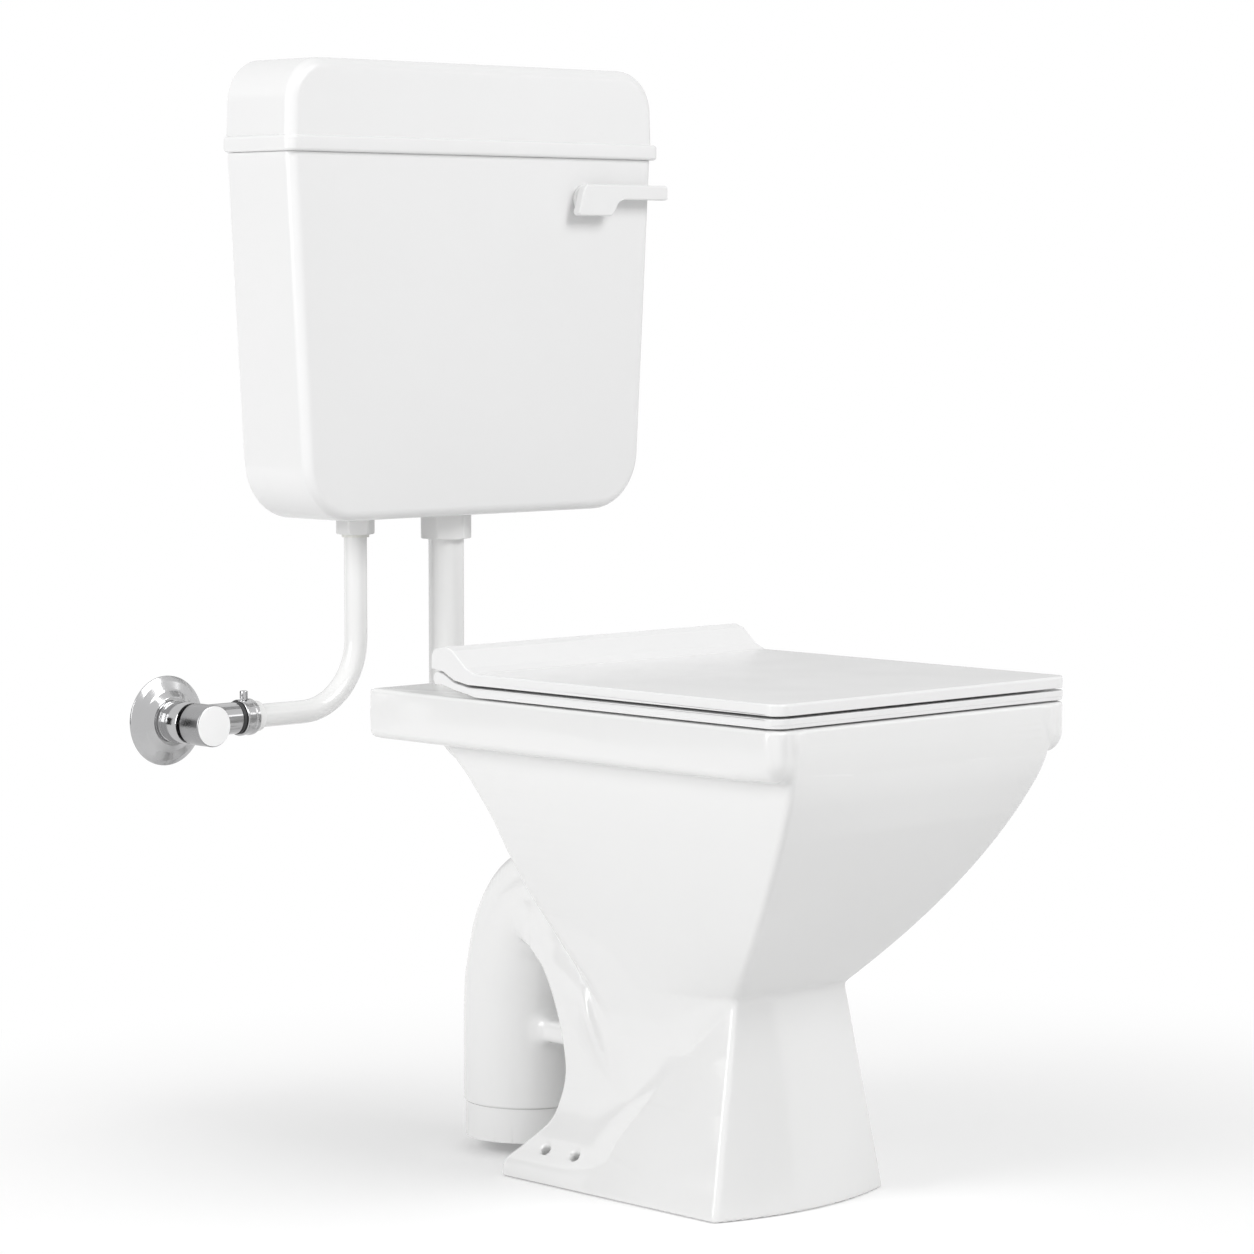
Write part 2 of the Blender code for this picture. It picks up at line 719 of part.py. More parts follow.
def face_y(z):
    share = down_share(z)
    if share > 1:
        return SHOULDER_Y + (SHOULDER_Z - z) * CREASE_SLOPE_SHARE
    run = SHOULDER_Y - FACE_TOP_Y
    return FACE_TOP_Y + run * (FRONT_EASE_SHARE * share + (1 - FRONT_EASE_SHARE) * share ** 2)


def face_half_width(z):
    share = down_share(z)
    if share > 1:
        return curve_value(BOWL_LOW_POINTS, z)
    run = BOWL_TOP_HALF_WIDTH - SHOULDER_HALF_WIDTH
    return BOWL_TOP_HALF_WIDTH - run * (WIDTH_EASE_SHARE * share + (1 - WIDTH_EASE_SHARE) * share ** 2)


def side_half_width(z):
    share = down_share(z)
    if share > 1:
        return curve_value(BOWL_LOW_POINTS, z)
    run = BOWL_TOP_HALF_WIDTH - BOWL_WAIST_HALF_WIDTH
    return BOWL_TOP_HALF_WIDTH - run * (share - SIDE_EASE_SHARE * share * (1 - share) ** 2)


def plan_ring(z, front, rear, front_half, rear_half, bulge, front_radius, rear_radius):
    """A level outline with a bulged front, rounded corners and sides that widen towards the rear."""
    length = rear - front
    half = []
    for share in BULGE_SHARES:
        half.append((front_half * share, front - bulge * (1 - share ** 2), 0.0))
    half.append((front_half, front, front_radius))
    for share in SIDE_SHARES:
        swell = math.sin(math.pi / 2 * share / SIDE_SHARES[-1])
        half.append((front_half + (rear_half - front_half) * swell, front + length * share, 0.0))
    half.append((rear_half, rear, rear_radius))
    half.append((rear_half / 2, rear, 0.0))
    other = [(-x, y, radius) for x, y, radius in reversed(half[1:])]
    outline = rounded(half + other)
    return [Vector((x, y, z)) for x, y in outline]


def levels(top, bottom, count):
    return [bottom + (top - bottom) * step / count for step in range(count + 1)]


def bowl_outside(finish):
    rings = []
    low = levels(SHOULDER_Z, BOWL_FOOT_Z, 4)[:-1]
    for z in low + levels(BOWL_TOP_Z, SHOULDER_Z, 11):
        bulge = FACE_BULGE * min(1.0, down_share(z) / BULGE_RUN_SHARE)
        rear = curve_value(BOWL_REAR_POINTS, z)
        rings.append(plan_ring(z, face_y(z), rear, face_half_width(z), side_half_width(z), bulge,
                               RIDGE_RADIUS, REAR_RADIUS))
    return add_mesh("pan", *loft_mesh(rings), finish)


def pedestal_outside(finish):
    rings = []
    for z in levels(PEDESTAL_TOP_Z, 0.0, 9):
        share = max(0.0, (SHOULDER_Z - z) / SHOULDER_Z)
        front = SHOULDER_Y + (FOOT_FRONT_Y - SHOULDER_Y) * share
        half = SHOULDER_HALF_WIDTH + (FOOT_HALF_WIDTH - SHOULDER_HALF_WIDTH) * share
        bulge = FACE_BULGE + (FOOT_BULGE - FACE_BULGE) * share
        rear = curve_value(LIMB_REAR_POINTS, z)
        rings.append(plan_ring(z, front, rear, half, max(half, LIMB_HALF_WIDTH), bulge,
                               PEDESTAL_RADIUS, LIMB_RADIUS))
    return add_mesh("pan pedestal", *loft_mesh(rings), finish)


def slab_outside(finish):
    corner = SLAB_CORNER
    outline = rounded(((-SLAB_HALF_WIDTH, 0.0, corner), (SLAB_HALF_WIDTH, 0.0, corner),
                       (SLAB_HALF_WIDTH, SLAB_LENGTH, corner), (-SLAB_HALF_WIDTH, SLAB_LENGTH, corner)))
    slab = prism("pan slab", outline, "Z", RIM_Z - SLAB_HEIGHT, RIM_Z, finish)
    return soften(slab, SLAB_EDGE)


def trap_outside(finish):
    rows = smooth_path(TRAP_POINTS, 2)
    path = [Vector((0.0, row[0], row[1])) for row in rows]
    half_widths = [row[2] for row in rows]
    half_thicks = [row[3] for row in rows]
    rings = sweep_rings(path, (1.0, 0.0, 0.0), half_widths, half_thicks, STEPS)
    return add_mesh("pan trap", *loft_mesh(rings), finish)


def squared(value):
    """Pushes a circle's coordinate outwards, towards that of a square with round corners."""
    return math.copysign(abs(value) ** WELL_POWER_SHARE, value)


def bowl_inside(finish):
    rows = []
    for z in (RIM_Z + CUT_PAST, RIM_Z - RIM_DEPTH):
        rows.append((z, RIM_HOLE_Y[0], RIM_HOLE_Y[1], RIM_HOLE_HALF_WIDTH))
    for z, rear, half in WELL_POINTS:
        front = WELL_FRONT_Y
        if z >= SHOULDER_Z:
            front = max(face_y(z) + FACE_WALL, RIM_HOLE_Y[0] - BOWL_WALL)
        rows.append((z, front, rear, half))
    rings = []
    for z, front, rear, half in reversed(rows):
        middle = (front + rear) / 2
        reach = (rear - front) / 2
        ring = []
        for step in range(FINE_STEPS):
            angle = math.tau * step / FINE_STEPS
            x = half * squared(math.cos(angle))
            y = middle + reach * squared(math.sin(angle))
            ring.append(Vector((x, y, z)))
        rings.append(ring)
    return add_mesh("bowl hollow", *loft_mesh(rings), finish)


def waterway(finish):
    path = [Vector((0.0, row[0], row[1])) for row in smooth_path(WATERWAY_POINTS, 2)]
    sizes = [WATERWAY_RADIUS] * len(path)
    rings = sweep_rings(path, (1.0, 0.0, 0.0), sizes, sizes, STEPS)
    return add_mesh("waterway", *loft_mesh(rings), finish)


def fixing_hole(name, side, y, finish):
    reach = FIXING_HOLE_LENGTH / 2
    lean = Vector((side * math.sin(FIXING_HOLE_TILT), 0.0, math.cos(FIXING_HOLE_TILT))) * reach
    middle = Vector((side * FIXING_HOLE_X, y, FIXING_HOLE_Z))
    return rod(name, middle - lean, middle + lean, FIXING_HOLE_RADIUS, finish)


def make_pan(finish):
    pan = bowl_outside(finish)
    join(pan, slab_outside(finish), pedestal_outside(finish), trap_outside(finish))
    profile = ((OUTLET_RADIUS, OUTLET_Z), (OUTLET_RADIUS, OUTLET_RING_Z + OVERLAP))
    outlet = turned("pan outlet", profile, finish, centre=(0.0, OUTLET_Y, 0.0))
    half = STRUT_HALF_WIDTH
    strut = box("pan strut", (-half, STRUT_Y[0], STRUT_Z[0]), (half, STRUT_Y[1], STRUT_Z[1]), finish)
    soften(strut, SLAB_EDGE)
    horn = rod("pan horn", (0.0, HORN_START_Y, HORN_Z), (0.0, HORN_END_Y, HORN_Z), HORN_RADIUS, finish, STEPS)
    join(pan, outlet, strut, horn)
    recess = box("foot hollow", (-RECESS_HALF_WIDTH, RECESS_Y[0], -CUT_PAST),
                 (RECESS_HALF_WIDTH, RECESS_Y[1], RECESS_DEPTH), finish)
    inlet = rod("horn bore", (0.0, SLAB_LENGTH - HORN_BORE_ROOT, HORN_Z),
                (0.0, HORN_END_Y + CUT_PAST, HORN_Z), HORN_BORE, finish, STEPS)
    cut(pan, bowl_inside(finish), waterway(finish), recess, inlet)
    for side in (-1, 1):
        for y in FIXING_HOLE_Y:
            cut(pan, fixing_hole("fixing hole", side, y, finish))
        profile = ((SLEEVE_RADIUS, RIM_Z - SOCKET_DEPTH), (SLEEVE_RADIUS, RIM_Z + CUT_PAST))
        centre = (side * HINGE_X, POST_Y, 0.0)
        cut(pan, turned("hinge socket", profile, finish, centre=centre, steps=FEW_STEPS))
    return pan


# Seat and lid


def plate(name, profile, finish):
    """A flat plate from its side profile, with its four upright corners cut to a radius."""
    origin = (0.0, HINGE_Y, HINGE_Z)
    body = prism(name, profile, "X", -PLATE_HALF_WIDTH, PLATE_HALF_WIDTH, finish, origin)
    return soften(body, PLATE_EDGE, 1)


def mirrored(pair, side):
    """The two ends of a span along X, on the given side, in rising order."""
    return sorted((side * pair[0], side * pair[1]))


def along_x(name, span, side, radius, finish):
    low, high = mirrored(span, side)
    return rod(name, (low, HINGE_Y, HINGE_Z), (high, HINGE_Y, HINGE_Z), radius, finish)


def oval(half_width, front, rear, count):
    middle = (front + rear) / 2
    reach = (rear - front) / 2
    outline = []
    for step in range(count):
        angle = math.tau * step / count
        outline.append((half_width * math.cos(angle), middle + reach * math.sin(angle)))
    return outline


def make_seat(finish):
    centre = (0.0, HINGE_Y, HINGE_Z)
    nose = bend(centre, SEAT_NOSE_RADIUS, SEAT_NOSE_START, SEAT_NOSE_END, (0.0, 1.0, 0.0), (0.0, 0.0, 1.0))
    profile = [(PLATE_FRONT_Y, SEAT_BOTTOM_Z), *SEAT_UNDER_POINTS]
    profile += [(point.y, point.z) for point in nose]
    profile += [*SEAT_OVER_POINTS, (PLATE_FRONT_Y, SEAT_TOP_Z)]
    seat = plate("seat", profile, finish)
    hole = prism("seat hole", oval(SEAT_HOLE_HALF_WIDTH, *SEAT_HOLE_Y, FINE_STEPS), "Z",
                 SEAT_BOTTOM_Z - CUT_PAST, SEAT_TOP_Z + CUT_PAST, finish)
    cut(seat, hole)
    bottom = RIM_Z + GAP
    top = HINGE_Z + SEAT_NOSE_RADIUS + CUT_PAST
    rear = HINGE_Y + SEAT_NOSE_RADIUS + CUT_PAST
    for side in (-1, 1):
        low, high = mirrored((LID_BARREL_X[0] - RUN_GAP, SEAT_BARREL_X[0]), side)
        notch = box("seat notch", (low, SEAT_NOTCH_Y, bottom), (high, rear, top), finish)
        cut(seat, notch)
        join(seat, along_x("seat barrel", SEAT_BARREL_X, side, BARREL_RADIUS, finish))
        bore = (SEAT_BARREL_X[0] - CUT_PAST, PIN_X[1] + GAP)
        cut(seat, along_x("seat pin bore", bore, side, PIN_RADIUS + GAP, finish))
    return seat


def make_lid(finish):
    profile = [(PLATE_FRONT_Y, LID_BOTTOM_Z), *LID_REAR_POINTS, (PLATE_FRONT_Y, LID_TOP_Z)]
    lid = plate("lid", profile, finish)
    for side in (-1, 1):
        low, high = mirrored(LID_BARREL_X, side)
        web = box("lid web", (low, HINGE_Y - LID_WEB_HALF, HINGE_Z),
                  (high, HINGE_Y + LID_WEB_HALF, LID_WEB_TOP_Z), finish)
        join(lid, web, along_x("lid barrel", LID_BARREL_X, side, BARREL_RADIUS, finish))
        bore = (LID_BARREL_X[0] - CUT_PAST, LID_BARREL_X[1] + CUT_PAST)
        wide = BUMPER_RADIUS + GAP
        profile = ((wide, SEAT_TOP_Z), (wide, SEAT_TOP_Z + GAP + LID_BUMPER_HEIGHT + GAP))
        pocket = turned("lid pocket", profile, finish, centre=(side * LID_BUMPER_X, LID_BUMPER_Y, 0.0),
                        steps=FEW_STEPS)
        cut(lid, along_x("lid pin bore", bore, side, PIN_RADIUS + GAP, finish), pocket)
    return lid


def make_bumpers(rubber):
    low = RIM_Z + GAP
    high = SEAT_BOTTOM_Z - GAP
    names = ("front", "rear")
    for side, hand in ((-1, "left"), (1, "right")):
        for y, place in zip(SEAT_BUMPER_Y, names):
            turned("seat_bumper_" + place + "_" + hand, ((BUMPER_RADIUS, low), (BUMPER_RADIUS, high)), rubber,
                   centre=(side * SEAT_BUMPER_X, y, 0.0), steps=FEW_STEPS)
        base = SEAT_TOP_Z + GAP
        profile = ((BUMPER_RADIUS, base), (BUMPER_RADIUS, base + LID_BUMPER_HEIGHT))
        turned("lid_bumper_" + hand, profile, rubber, centre=(side * LID_BUMPER_X, LID_BUMPER_Y, 0.0),
               steps=FEW_STEPS)


def make_hinges(metal, rubber):
    base = RIM_Z + GAP
    for side, hand in ((-1, "left"), (1, "right")):
        centre = (side * HINGE_X, POST_Y, 0.0)
        post = turned("hinge_post_" + hand, ((POST_RADIUS, base), (POST_RADIUS, base + POST_PLATE)), metal,
                      centre=centre)
        low, high = mirrored(LUG_X, side)
        lug = box("post lug", (low, HINGE_Y - LUG_HALF_DEPTH, base + POST_PLATE / 2),
                  (high, HINGE_Y + LUG_HALF_DEPTH, HINGE_Z), metal)
        stud = rod("post stud", (centre[0], POST_Y, base - STUD_LENGTH),
                   (centre[0], POST_Y, base + POST_PLATE / 2), STUD_RADIUS, metal)
        join(post, lug, stud, along_x("post barrel", LUG_X, side, BARREL_RADIUS, metal))
        bore = (LUG_X[0] - CUT_PAST, LUG_X[1] + CUT_PAST)
        cut(post, along_x("post pin bore", bore, side, PIN_RADIUS + GAP, metal))
        pin = along_x("hinge_pin_" + hand, PIN_X, side, PIN_RADIUS, metal)
        top = RIM_Z - SLEEVE_TOP_DROP
        ring_of("hinge_sleeve_" + hand, STUD_RADIUS + GAP, SLEEVE_RADIUS - GAP, top - SLEEVE_LENGTH, top,
                rubber, centre=centre, steps=FEW_STEPS)


# Cistern


def tank_outline(top_half, bottom_half, low, high, low_radius, high_radius, inset):
    """Front outline in (z, x) order, drawn in by a distance except at an end that has square corners."""
    lower = max(low_radius - inset, 0.0)
    upper = max(high_radius - inset, 0.0)
    top = high - inset if high_radius else high
    bottom = low + inset if low_radius else low
    return rounded(((bottom, -(bottom_half - inset), lower), (bottom, bottom_half - inset, lower),
                    (top, top_half - inset, upper), (top, -(top_half - inset), upper)), 6)


def rounded_front(name, sizes, front, back, edge, finish, inset=0.0, origin=(0.0, 0.0, 0.0)):
    """A block with its outline facing front and the edge round that front face rounded."""
    rings = []
    steps = 3
    for step in range(steps + 1):
        angle = math.pi / 2 * step / steps
        y = front + edge * (1 - math.sin(angle))
        rings.append((y, edge * (1 - math.cos(angle))))
    rings = sorted(rings)
    rings.append((back, 0.0))
    made = []
    for y, drawn in rings:
        made.append([Vector((x, y, z)) for z, x in tank_outline(*sizes, inset + drawn)])
    return add_mesh(name, *loft_mesh(made), finish, origin)


def make_tank(finish):
    sizes = (TANK_TOP_HALF_WIDTH, TANK_BOTTOM_HALF_WIDTH, TANK_BOTTOM_Z, TANK_TOP_Z, TANK_BOTTOM_RADIUS, 0.0)
    tank = rounded_front("tank", sizes, TANK_FRONT_Y, WALL_Y, TANK_EDGE_RADIUS, finish)
    grown = (TANK_TOP_HALF_WIDTH, TANK_BOTTOM_HALF_WIDTH, TANK_BOTTOM_Z, TANK_TOP_Z + CUT_PAST,
             TANK_BOTTOM_RADIUS, 0.0)
    hollow = rounded_front("tank hollow", grown, TANK_FRONT_Y + TANK_WALL, WALL_Y - TANK_WALL,
                           TANK_EDGE_RADIUS - TANK_WALL, finish, TANK_WALL)
    cut(tank, hollow)
    low = TANK_BOTTOM_Z - CUT_PAST
    high = TANK_BOTTOM_Z + TANK_WALL + CUT_PAST
    siphon = rod("siphon hole", (0.0, SIPHON_Y, low), (0.0, SIPHON_Y, high), TAIL_RADIUS + GAP, finish, STEPS)
    valve = rod("valve hole", (VALVE_X, VALVE_Y, low), (VALVE_X, VALVE_Y, high), SHANK_RADIUS + GAP, finish,
                STEPS)
    lever = rod("lever hole", (LEVER_X, TANK_FRONT_Y - CUT_PAST, LEVER_Z),
                (LEVER_X, TANK_FRONT_Y + TANK_WALL + CUT_PAST, LEVER_Z), BUSH_RADIUS + GAP, finish, STEPS)
    cut(tank, siphon, valve, lever)
    for side in (-1, 1):
        x = side * HANG_HOLE_X
        cut(tank, rod("hang hole", (x, WALL_Y - TANK_WALL - CUT_PAST, HANG_HOLE_Z),
                      (x, WALL_Y + CUT_PAST, HANG_HOLE_Z), HANG_HOLE_RADIUS, finish))
    return tank


def make_cover(finish):
    low = TANK_TOP_Z + GAP
    band_top = low + LID_BAND_HEIGHT
    cover_sizes = (COVER_HALF_WIDTH - COVER_TAPER, COVER_HALF_WIDTH, low + OVERLAP, COVER_TOP_Z, 0.0,
                   COVER_TOP_RADIUS)
    cover = rounded_front("tank_lid", cover_sizes, TANK_FRONT_Y - COVER_FRONT_OUT, WALL_Y, COVER_EDGE_RADIUS,
                          finish)
    front = TANK_FRONT_Y - LID_BAND_OUT
    back = WALL_Y - GAP
    outline = rounded(((-LID_BAND_HALF_WIDTH, front, TANK_EDGE_RADIUS),
                       (LID_BAND_HALF_WIDTH, front, TANK_EDGE_RADIUS),
                       (LID_BAND_HALF_WIDTH, back, 0.0), (-LID_BAND_HALF_WIDTH, back, 0.0)))
    band = prism("lid band", outline, "Z", low, band_top, finish)
    join(cover, soften(band, LID_BAND_RADIUS, 2, math.radians(60)))
    inside = (COVER_HALF_WIDTH - COVER_TAPER, COVER_HALF_WIDTH, low - CUT_PAST, COVER_TOP_Z, 0.0,
              COVER_TOP_RADIUS)
    hollow = rounded_front("cover hollow", inside, TANK_FRONT_Y + COVER_WALL, WALL_Y - COVER_WALL,
                           COVER_EDGE_RADIUS - COVER_WALL, finish, COVER_WALL)
    cut(cover, hollow)
    inner = TANK_FRONT_Y + TANK_WALL + RUN_GAP
    for side in (-1, 1):
        low_x = side * COVER_TAB_X - COVER_TAB_HALF_WIDTH
        high_x = side * COVER_TAB_X + COVER_TAB_HALF_WIDTH
        tab = box("cover tab", (low_x, inner, low - COVER_TAB_DEPTH),
                  (high_x, inner + COVER_TAB_THICK, band_top), finish)
        foot = box("cover tab foot", (low_x + GAP, TANK_FRONT_Y + OVERLAP, low + OVERLAP),
                   (high_x - GAP, inner + OVERLAP, band_top - OVERLAP), finish)
        edge = TANK_TOP_HALF_WIDTH - TANK_WALL - COVER_TAB_ROOM
        span = mirrored((edge, edge - COVER_TAB_THICK), side)
        brace = mirrored((edge - OVERLAP, COVER_HALF_WIDTH - OVERLAP), side)
        near = SIPHON_Y - COVER_TAB_HALF_WIDTH
        far = SIPHON_Y + COVER_TAB_HALF_WIDTH
        side_tab = box("side tab", (span[0], near, low - COVER_TAB_DEPTH), (span[1], far, band_top), finish)
        side_foot = box("side tab foot", (brace[0], near + GAP, low + OVERLAP),
                        (brace[1], far - GAP, band_top - OVERLAP), finish)
        join(cover, tab, foot, side_tab, side_foot)
    return cover


def make_lever(finish, metal):
    outline = [(LEVER_Z + up, LEVER_X + out) for out, up in LEVER_OUTLINE]
    pivot = (LEVER_X, SIPHON_Y, LEVER_Z)
    lever = prism("lever", outline, "Y", LEVER_FRONT_Y, LEVER_FRONT_Y + LEVER_THICK, finish, pivot)
    soften(lever, LEVER_EDGE, 2)
    boss = rod("lever boss", (LEVER_X, LEVER_FRONT_Y + LEVER_THICK - OVERLAP, LEVER_Z),
               (LEVER_X, LEVER_BOSS_END_Y, LEVER_Z), LEVER_BOSS_RADIUS, finish, STEPS)
    spindle = rod("lever spindle", (LEVER_X, LEVER_BOSS_END_Y - OVERLAP, LEVER_Z),
                  (LEVER_X, SPINDLE_END_Y, LEVER_Z), SPINDLE_RADIUS, finish)
    join(lever, boss, spindle)

    bore = SPINDLE_RADIUS + GAP
    start = LEVER_BOSS_END_Y + GAP
    wall = TANK_FRONT_Y - GAP
    profile = ((bore, start), (BUSH_FLANGE_RADIUS, start), (BUSH_FLANGE_RADIUS, wall), (BUSH_RADIUS, wall),
               (BUSH_RADIUS, BUSH_END_Y), (bore, BUSH_END_Y))
    turned("lever_bush", profile, finish, "Y", (LEVER_X, 0.0, LEVER_Z), closed=True)
    inside = TANK_FRONT_Y + TANK_WALL + GAP
    nut = prism("lever_nut", hexagon(LEVER_NUT_FLATS, (LEVER_Z, LEVER_X)), "Y", inside,
                inside + LEVER_NUT_THICK, finish, (LEVER_X, inside, LEVER_Z))
    cut(nut, rod("nut bore", (LEVER_X, inside - CUT_PAST, LEVER_Z),
                 (LEVER_X, inside + LEVER_NUT_THICK + CUT_PAST, LEVER_Z), BUSH_RADIUS + GAP, finish, STEPS))

    arm = rod("lever_arm", (LEVER_X, SIPHON_Y - ARM_HUB_HALF_DEPTH, LEVER_Z),
              (LEVER_X, SIPHON_Y + ARM_HUB_HALF_DEPTH, LEVER_Z), ARM_HUB_RADIUS, metal, STEPS)
    blade = box("arm blade", (LEVER_X - ARM_LENGTH, SIPHON_Y - ARM_HALF_DEPTH, LEVER_Z - ARM_HALF_HEIGHT),
                (LEVER_X - SPINDLE_RADIUS - OVERLAP, SIPHON_Y + ARM_HALF_DEPTH, LEVER_Z + ARM_HALF_HEIGHT),
                metal)
    turn_about(blade, pivot, "Y", -ARM_REST_ANGLE)
    join(arm, blade)
    reach = ARM_HUB_HALF_DEPTH + CUT_PAST
    cut(arm, rod("arm bore", (LEVER_X, SIPHON_Y - reach, LEVER_Z), (LEVER_X, SIPHON_Y + reach, LEVER_Z), bore,
                 metal))


def riser_path():
    half = RISER_X / 2
    return bend((half, SIPHON_Y, RISER_TOP_Z), half, 0.0, math.pi, (1.0, 0.0, 0.0), (0.0, 0.0, 1.0))


def make_siphon(finish, rubber):
    floor = TANK_BOTTOM_Z + TANK_WALL
    seat_z = floor + GAP + WASHER_THICK + GAP
    outer = CHAMBER_RADIUS + SIPHON_WALL
    centre = (CHAMBER_X, SIPHON_Y, 0.0)
    body = turned("siphon_body", ((outer, CHAMBER_LOW_Z), (outer, CHAMBER_TOP_Z)), finish, centre=centre)
    crown = riser_path()
    start = Vector((RISER_X, SIPHON_Y, CHAMBER_TOP_Z - OVERLAP))
    end = Vector((0.0, SIPHON_Y, seat_z))
    path = [start] + crown + [end]
    wide = [RISER_RADIUS] * len(path)
    skin = add_mesh("siphon pipe", *loft_mesh(sweep_rings(path, (0.0, 1.0, 0.0), wide, wide, STEPS)), finish)
    flange_top = seat_z + FLANGE_THICK
    profile = ((TAIL_RADIUS, TAIL_END_Z), (TAIL_RADIUS, seat_z), (SIPHON_FLANGE_RADIUS, seat_z),
               (SIPHON_FLANGE_RADIUS, flange_top), (TAIL_RADIUS, flange_top + FLANGE_THICK))
    tail = turned("siphon tail", profile, finish, centre=(0.0, SIPHON_Y, 0.0))
    join(body, skin, tail)
    start = start - Vector((0.0, 0.0, CHAMBER_TOP + CUT_PAST))
    inside = [start] + crown + [end - Vector((0.0, 0.0, CUT_PAST))]
    drawn = [RISER_RADIUS - SIPHON_WALL] * len(inside)
    rings = sweep_rings(inside, (0.0, 1.0, 0.0), drawn, drawn, STEPS)
    bore = add_mesh("siphon bore", *loft_mesh(rings), finish)
    profile = ((CHAMBER_RADIUS, CHAMBER_LOW_Z - CUT_PAST), (CHAMBER_RADIUS, CHAMBER_TOP_Z - CHAMBER_TOP))
    chamber = turned("chamber hollow", profile, finish, centre=centre)
    profile = ((TAIL_BORE, TAIL_END_Z - CUT_PAST), (TAIL_BORE, FLUSH_PIPE_TOP_Z + CUT_PAST))
    tail_bore = turned("tail bore", profile, finish, centre=(0.0, SIPHON_Y, 0.0))
    guide = rod("rod guide", (CHAMBER_X, SIPHON_Y, CHAMBER_LOW_Z),
                (CHAMBER_X, SIPHON_Y, CHAMBER_TOP_Z + CUT_PAST), ROD_RADIUS + RUN_GAP, finish)
    cut(body, chamber, bore, tail_bore, guide)
    low = floor + GAP
    ring_of("siphon_washer", TAIL_RADIUS + GAP, SIPHON_FLANGE_RADIUS, low, low + WASHER_THICK, rubber,
            centre=(0.0, SIPHON_Y, 0.0))


def make_flush_nut(finish):
    top = TANK_BOTTOM_Z - GAP
    nut = prism("flush_nut", hexagon(FLUSH_NUT_FLATS, (0.0, SIPHON_Y)), "Z", FLUSH_NUT_Z, top, finish,
                (0.0, SIPHON_Y, FLUSH_NUT_Z))
    narrow = FLUSH_PIPE_RADIUS + GAP
    wide = TAIL_RADIUS + GAP
    step_z = FLUSH_NUT_Z + NUT_LIP
    profile = ((narrow, FLUSH_NUT_Z - CUT_PAST), (narrow, step_z), (wide, step_z), (wide, top + CUT_PAST))
    cut(nut, turned("flush nut bore", profile, finish, centre=(0.0, SIPHON_Y, 0.0)))


def make_plunger(finish, rubber, metal):
    centre = (CHAMBER_X, SIPHON_Y, 0.0)
    disc_top = DISC_Z + DISC_THICK
    wide = CHAMBER_RADIUS - RUN_GAP
    profile = ((wide, DISC_Z), (wide, disc_top), (ROD_RADIUS, disc_top), (ROD_RADIUS, ROD_TOP_Z))
    plunger = turned("plunger", profile, finish, centre=centre)
    for quarter in range(4):
        angle = math.tau * (quarter + 0.5) / 4
        x = CHAMBER_X + DISC_HOLE_OUT * math.cos(angle)
        y = SIPHON_Y + DISC_HOLE_OUT * math.sin(angle)
        hole = rod("disc hole", (x, y, DISC_Z - CUT_PAST), (x, y, disc_top + CUT_PAST), DISC_HOLE_RADIUS,
                   finish)
        cut(plunger, hole)
    low = disc_top + GAP
    ring_of("plunger_flap", ROD_RADIUS + GAP, FLAP_RADIUS, low, low + FLAP_THICK, rubber, centre=centre)

    profile = ((LINK_HUB_RADIUS, LINK_HUB_LOW_Z), (LINK_HUB_RADIUS, LINK_HUB_TOP_Z))
    link = turned("plunger_link", profile, metal, centre=centre, steps=FEW_STEPS)
    plate_low = LINK_HUB_TOP_Z - OVERLAP
    blade = box("link plate", (CHAMBER_X - LINK_HALF_THICK, SIPHON_Y - LINK_HALF_WIDTH, plate_low),
                (CHAMBER_X + LINK_HALF_THICK, SIPHON_Y + LINK_HALF_WIDTH, LINK_TOP_Z), metal)
    join(link, blade)
    arm_z = LEVER_Z - (LEVER_X - CHAMBER_X) * math.tan(ARM_REST_ANGLE)
    half_slot = Vector((LINK_HUB_RADIUS, LINK_SLOT_HALF_WIDTH, LINK_SLOT_HALF_HEIGHT))
    middle = Vector((CHAMBER_X, SIPHON_Y, arm_z))
    slot = box("link slot", middle - half_slot, middle + half_slot, metal)
    bore = rod("link bore", (CHAMBER_X, SIPHON_Y, LINK_HUB_LOW_Z - CUT_PAST),
               (CHAMBER_X, SIPHON_Y, ROD_TOP_Z + GAP), ROD_RADIUS + GAP, metal)
    cut(link, slot, bore)


# Float valve


